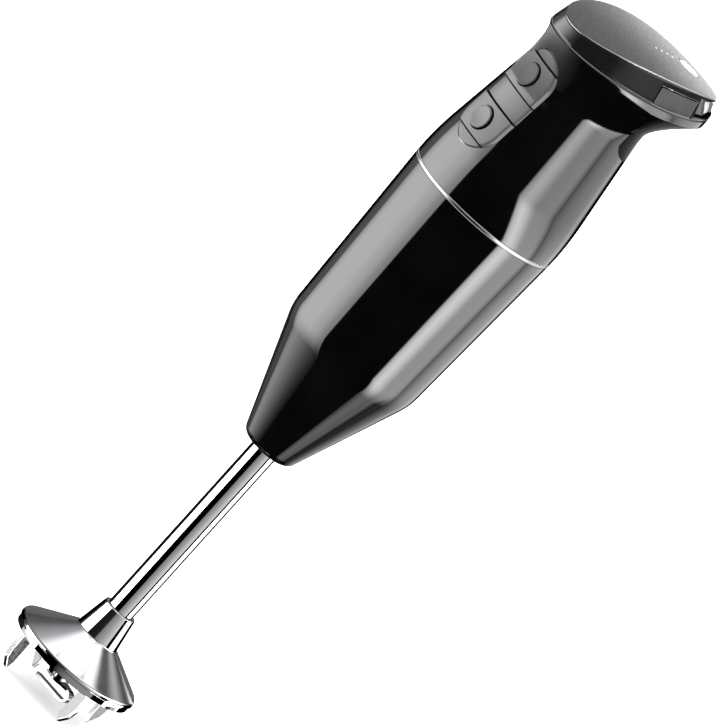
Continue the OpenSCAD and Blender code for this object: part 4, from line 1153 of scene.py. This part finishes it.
# Where the cards stand: distances from the axis, and heights from low to high
CARD_R = 250 * MM
CARD_FOOT = -75 * MM
TUBE_CARD_FOOT, TUBE_CARD_TOP = -20 * MM, 112 * MM
RIM_LEFT_TOP, RIM_TOP = -22 * MM, -20.5 * MM
PRONG_CARD_R, PRONG_CARD_FOOT, PRONG_CARD_TOP, PRONG_PEAK = 120 * MM, -60 * MM, -5 * MM, 2.0
REAR_CARD_TOP = 150 * MM
HEAD_CARD = dict(low=350 * MM, high=357 * MM, radius=110 * MM, inner=36 * MM)
HEAD_RIGHT = dict(low=359.5 * MM, high=365.8 * MM, radius=90 * MM, inner=46 * MM)
HEAD_PEAK = 3.0
# A mesh that reaches above this height shows in no reflection, unless it is a card
REFLECTED_BELOW = 70 * MM


def card(name, stops, low, high, radius=CARD_R, inner=None, peak=1.0, mirrors_only=True):
    """A glowing reflector round the axis: a band from low to high, or a dish from inner to radius."""
    inner = radius if inner is None else inner
    first, last = stops[0][0], stops[-1][0]
    bm = bmesh.new()
    edges = []
    for turn in np.linspace(first, last, max(2, int((last - first) / 2))):
        a = CAMERA_AZIMUTH + math.radians(turn)
        c, d = math.sin(a), -math.cos(a)
        edges.append((bm.verts.new((inner * c, inner * d, low)),
                      bm.verts.new((radius * c, radius * d, high))))
    for (p, q), (r, t) in zip(edges, edges[1:]):
        bm.faces.new([p, r, t, q])
    m = bpy.data.materials.new(name)
    m.use_nodes = True
    f = Field(m.node_tree)
    f.nodes.remove(f.nodes["Principled BSDF"])
    glow = f.nodes.new("ShaderNodeEmission")
    turn = f.turn(f.nodes.new("ShaderNodeTexCoord").outputs["Object"])
    f.links.new(f.curve(turn, stops, first, last, peak), glow.inputs["Strength"])
    surface = glow.outputs[0]
    if mirrors_only:
        mix = f.nodes.new("ShaderNodeMixShader")
        f.links.new(f.nodes.new("ShaderNodeLightPath").outputs["Is Singular Ray"], mix.inputs[0])
        f.links.new(f.nodes.new("ShaderNodeBsdfTransparent").outputs[0], mix.inputs[1])
        f.links.new(surface, mix.inputs[2])
        surface = mix.outputs[0]
    f.links.new(surface, f.nodes["Material Output"].inputs["Surface"])
    o = new_object(name, bm, m)
    o.visible_camera = o.visible_diffuse = o.visible_shadow = o.visible_transmission = False


def cards():
    card("tube_card", TUBE_CARD, TUBE_CARD_FOOT, TUBE_CARD_TOP)
    card("rim_left_card", RIM_LEFT_CARD, CARD_FOOT, RIM_LEFT_TOP)
    card("rim_card", RIM_CARD, CARD_FOOT, RIM_TOP)
    for name, stops in (("prong_card", PRONG_CARD), ("far_prong_card", FAR_PRONG_CARD),
                        ("white_prong_card", WHITE_PRONG_CARD), ("prong_edge_card", PRONG_EDGE_CARD),
                        ("far_prong_edge_card", RIGHT_EDGE_CARD)):
        card(name, stops, PRONG_CARD_FOOT, PRONG_CARD_TOP, PRONG_CARD_R, mirrors_only=False,
             peak=PRONG_PEAK)
    for name, stops in (("left_edge_card", LEFT_EDGE_CARD), ("right_edge_card", RIGHT_EDGE_CARD)):
        card(name, stops, CARD_FOOT, TUBE_CARD_TOP)
    for name, stops in (("rear_left_card", REAR_LEFT_CARD), ("rear_right_card", REAR_RIGHT_CARD)):
        card(name, stops, CARD_FOOT, REAR_CARD_TOP, mirrors_only=False)
    for name, stops, place in (("head_left_card", HEAD_LEFT_CARD, HEAD_CARD),
                               ("head_rear_card", HEAD_REAR_CARD, HEAD_CARD),
                               ("head_right_card", HEAD_RIGHT_CARD, HEAD_RIGHT)):
        card(name, stops, peak=HEAD_PEAK, mirrors_only=False, **place)


FLOOR_HALF = 60
FLOOR_Z = -0.02 * MM      # just under the prong tips
FLOOR_TONE = 0.93
FLOOR_GLOW = 0.4


def floor():
    """A plain pale floor, which doesn't show in reflections."""
    bm = bmesh.new()
    size, z = FLOOR_HALF, FLOOR_Z
    bm.faces.new([bm.verts.new(p) for p in
                  ((-size, -size, z), (size, -size, z), (size, size, z), (-size, size, z))])
    m, _, _, bsdf = new_material("pale_floor")
    bsdf.inputs["Base Color"].default_value = (FLOOR_TONE, FLOOR_TONE, FLOOR_TONE, 1)
    bsdf.inputs["Roughness"].default_value = 0.9
    bsdf.inputs["Specular IOR Level"].default_value = 0.0
    bsdf.inputs["Emission Color"].default_value = (1, 1, 1, 1)
    bsdf.inputs["Emission Strength"].default_value = FLOOR_GLOW
    o = new_object("floor", bm, m)
    o.visible_glossy = False


# ---- the object -------------------------------------------------------------------

def finish_cad_nodes(mats):
    """Gives every CAD node its slot's material."""
    slots = {r["node"]: r["material_slot"] for r in frame["record"]["subparts"]}
    for name, o in NODES.items():
        o.data.materials.clear()
        o.data.materials.append(mats[slots[name]])


def hide_body_from_guard():
    """Keeps the dark body out of the guard's reflections, and so out of its own as well."""
    for o in bpy.data.objects:
        if o.type != "MESH" or o.name.endswith("card"):
            continue
        if max((o.matrix_world @ Vector(c)).z for c in o.bound_box) > REFLECTED_BELOW:
            o.visible_glossy = False


def main():
    scene = bpy.context.scene
    scene.view_settings.view_transform = "Standard"
    camera()
    mats = make_materials()
    finish_cad_nodes(mats)
    guard(mats)
    tube(mats)
    housing(mats)
    trim(mats)
    handle(mats)
    button_pad(mats)
    button(mats, "upper_key", "upper_button", 1)
    button(mats, "lower_key", "lower_button", -1)
    cap_ring(mats)
    latch(mats, "right_catch", "right_latch", 1)
    latch(mats, "left_catch", "left_latch", -1)
    lid(mats)
    lens(mats)
    lid_bead(mats)
    studio_world()
    cards()
    floor()
    hide_body_from_guard()


main()
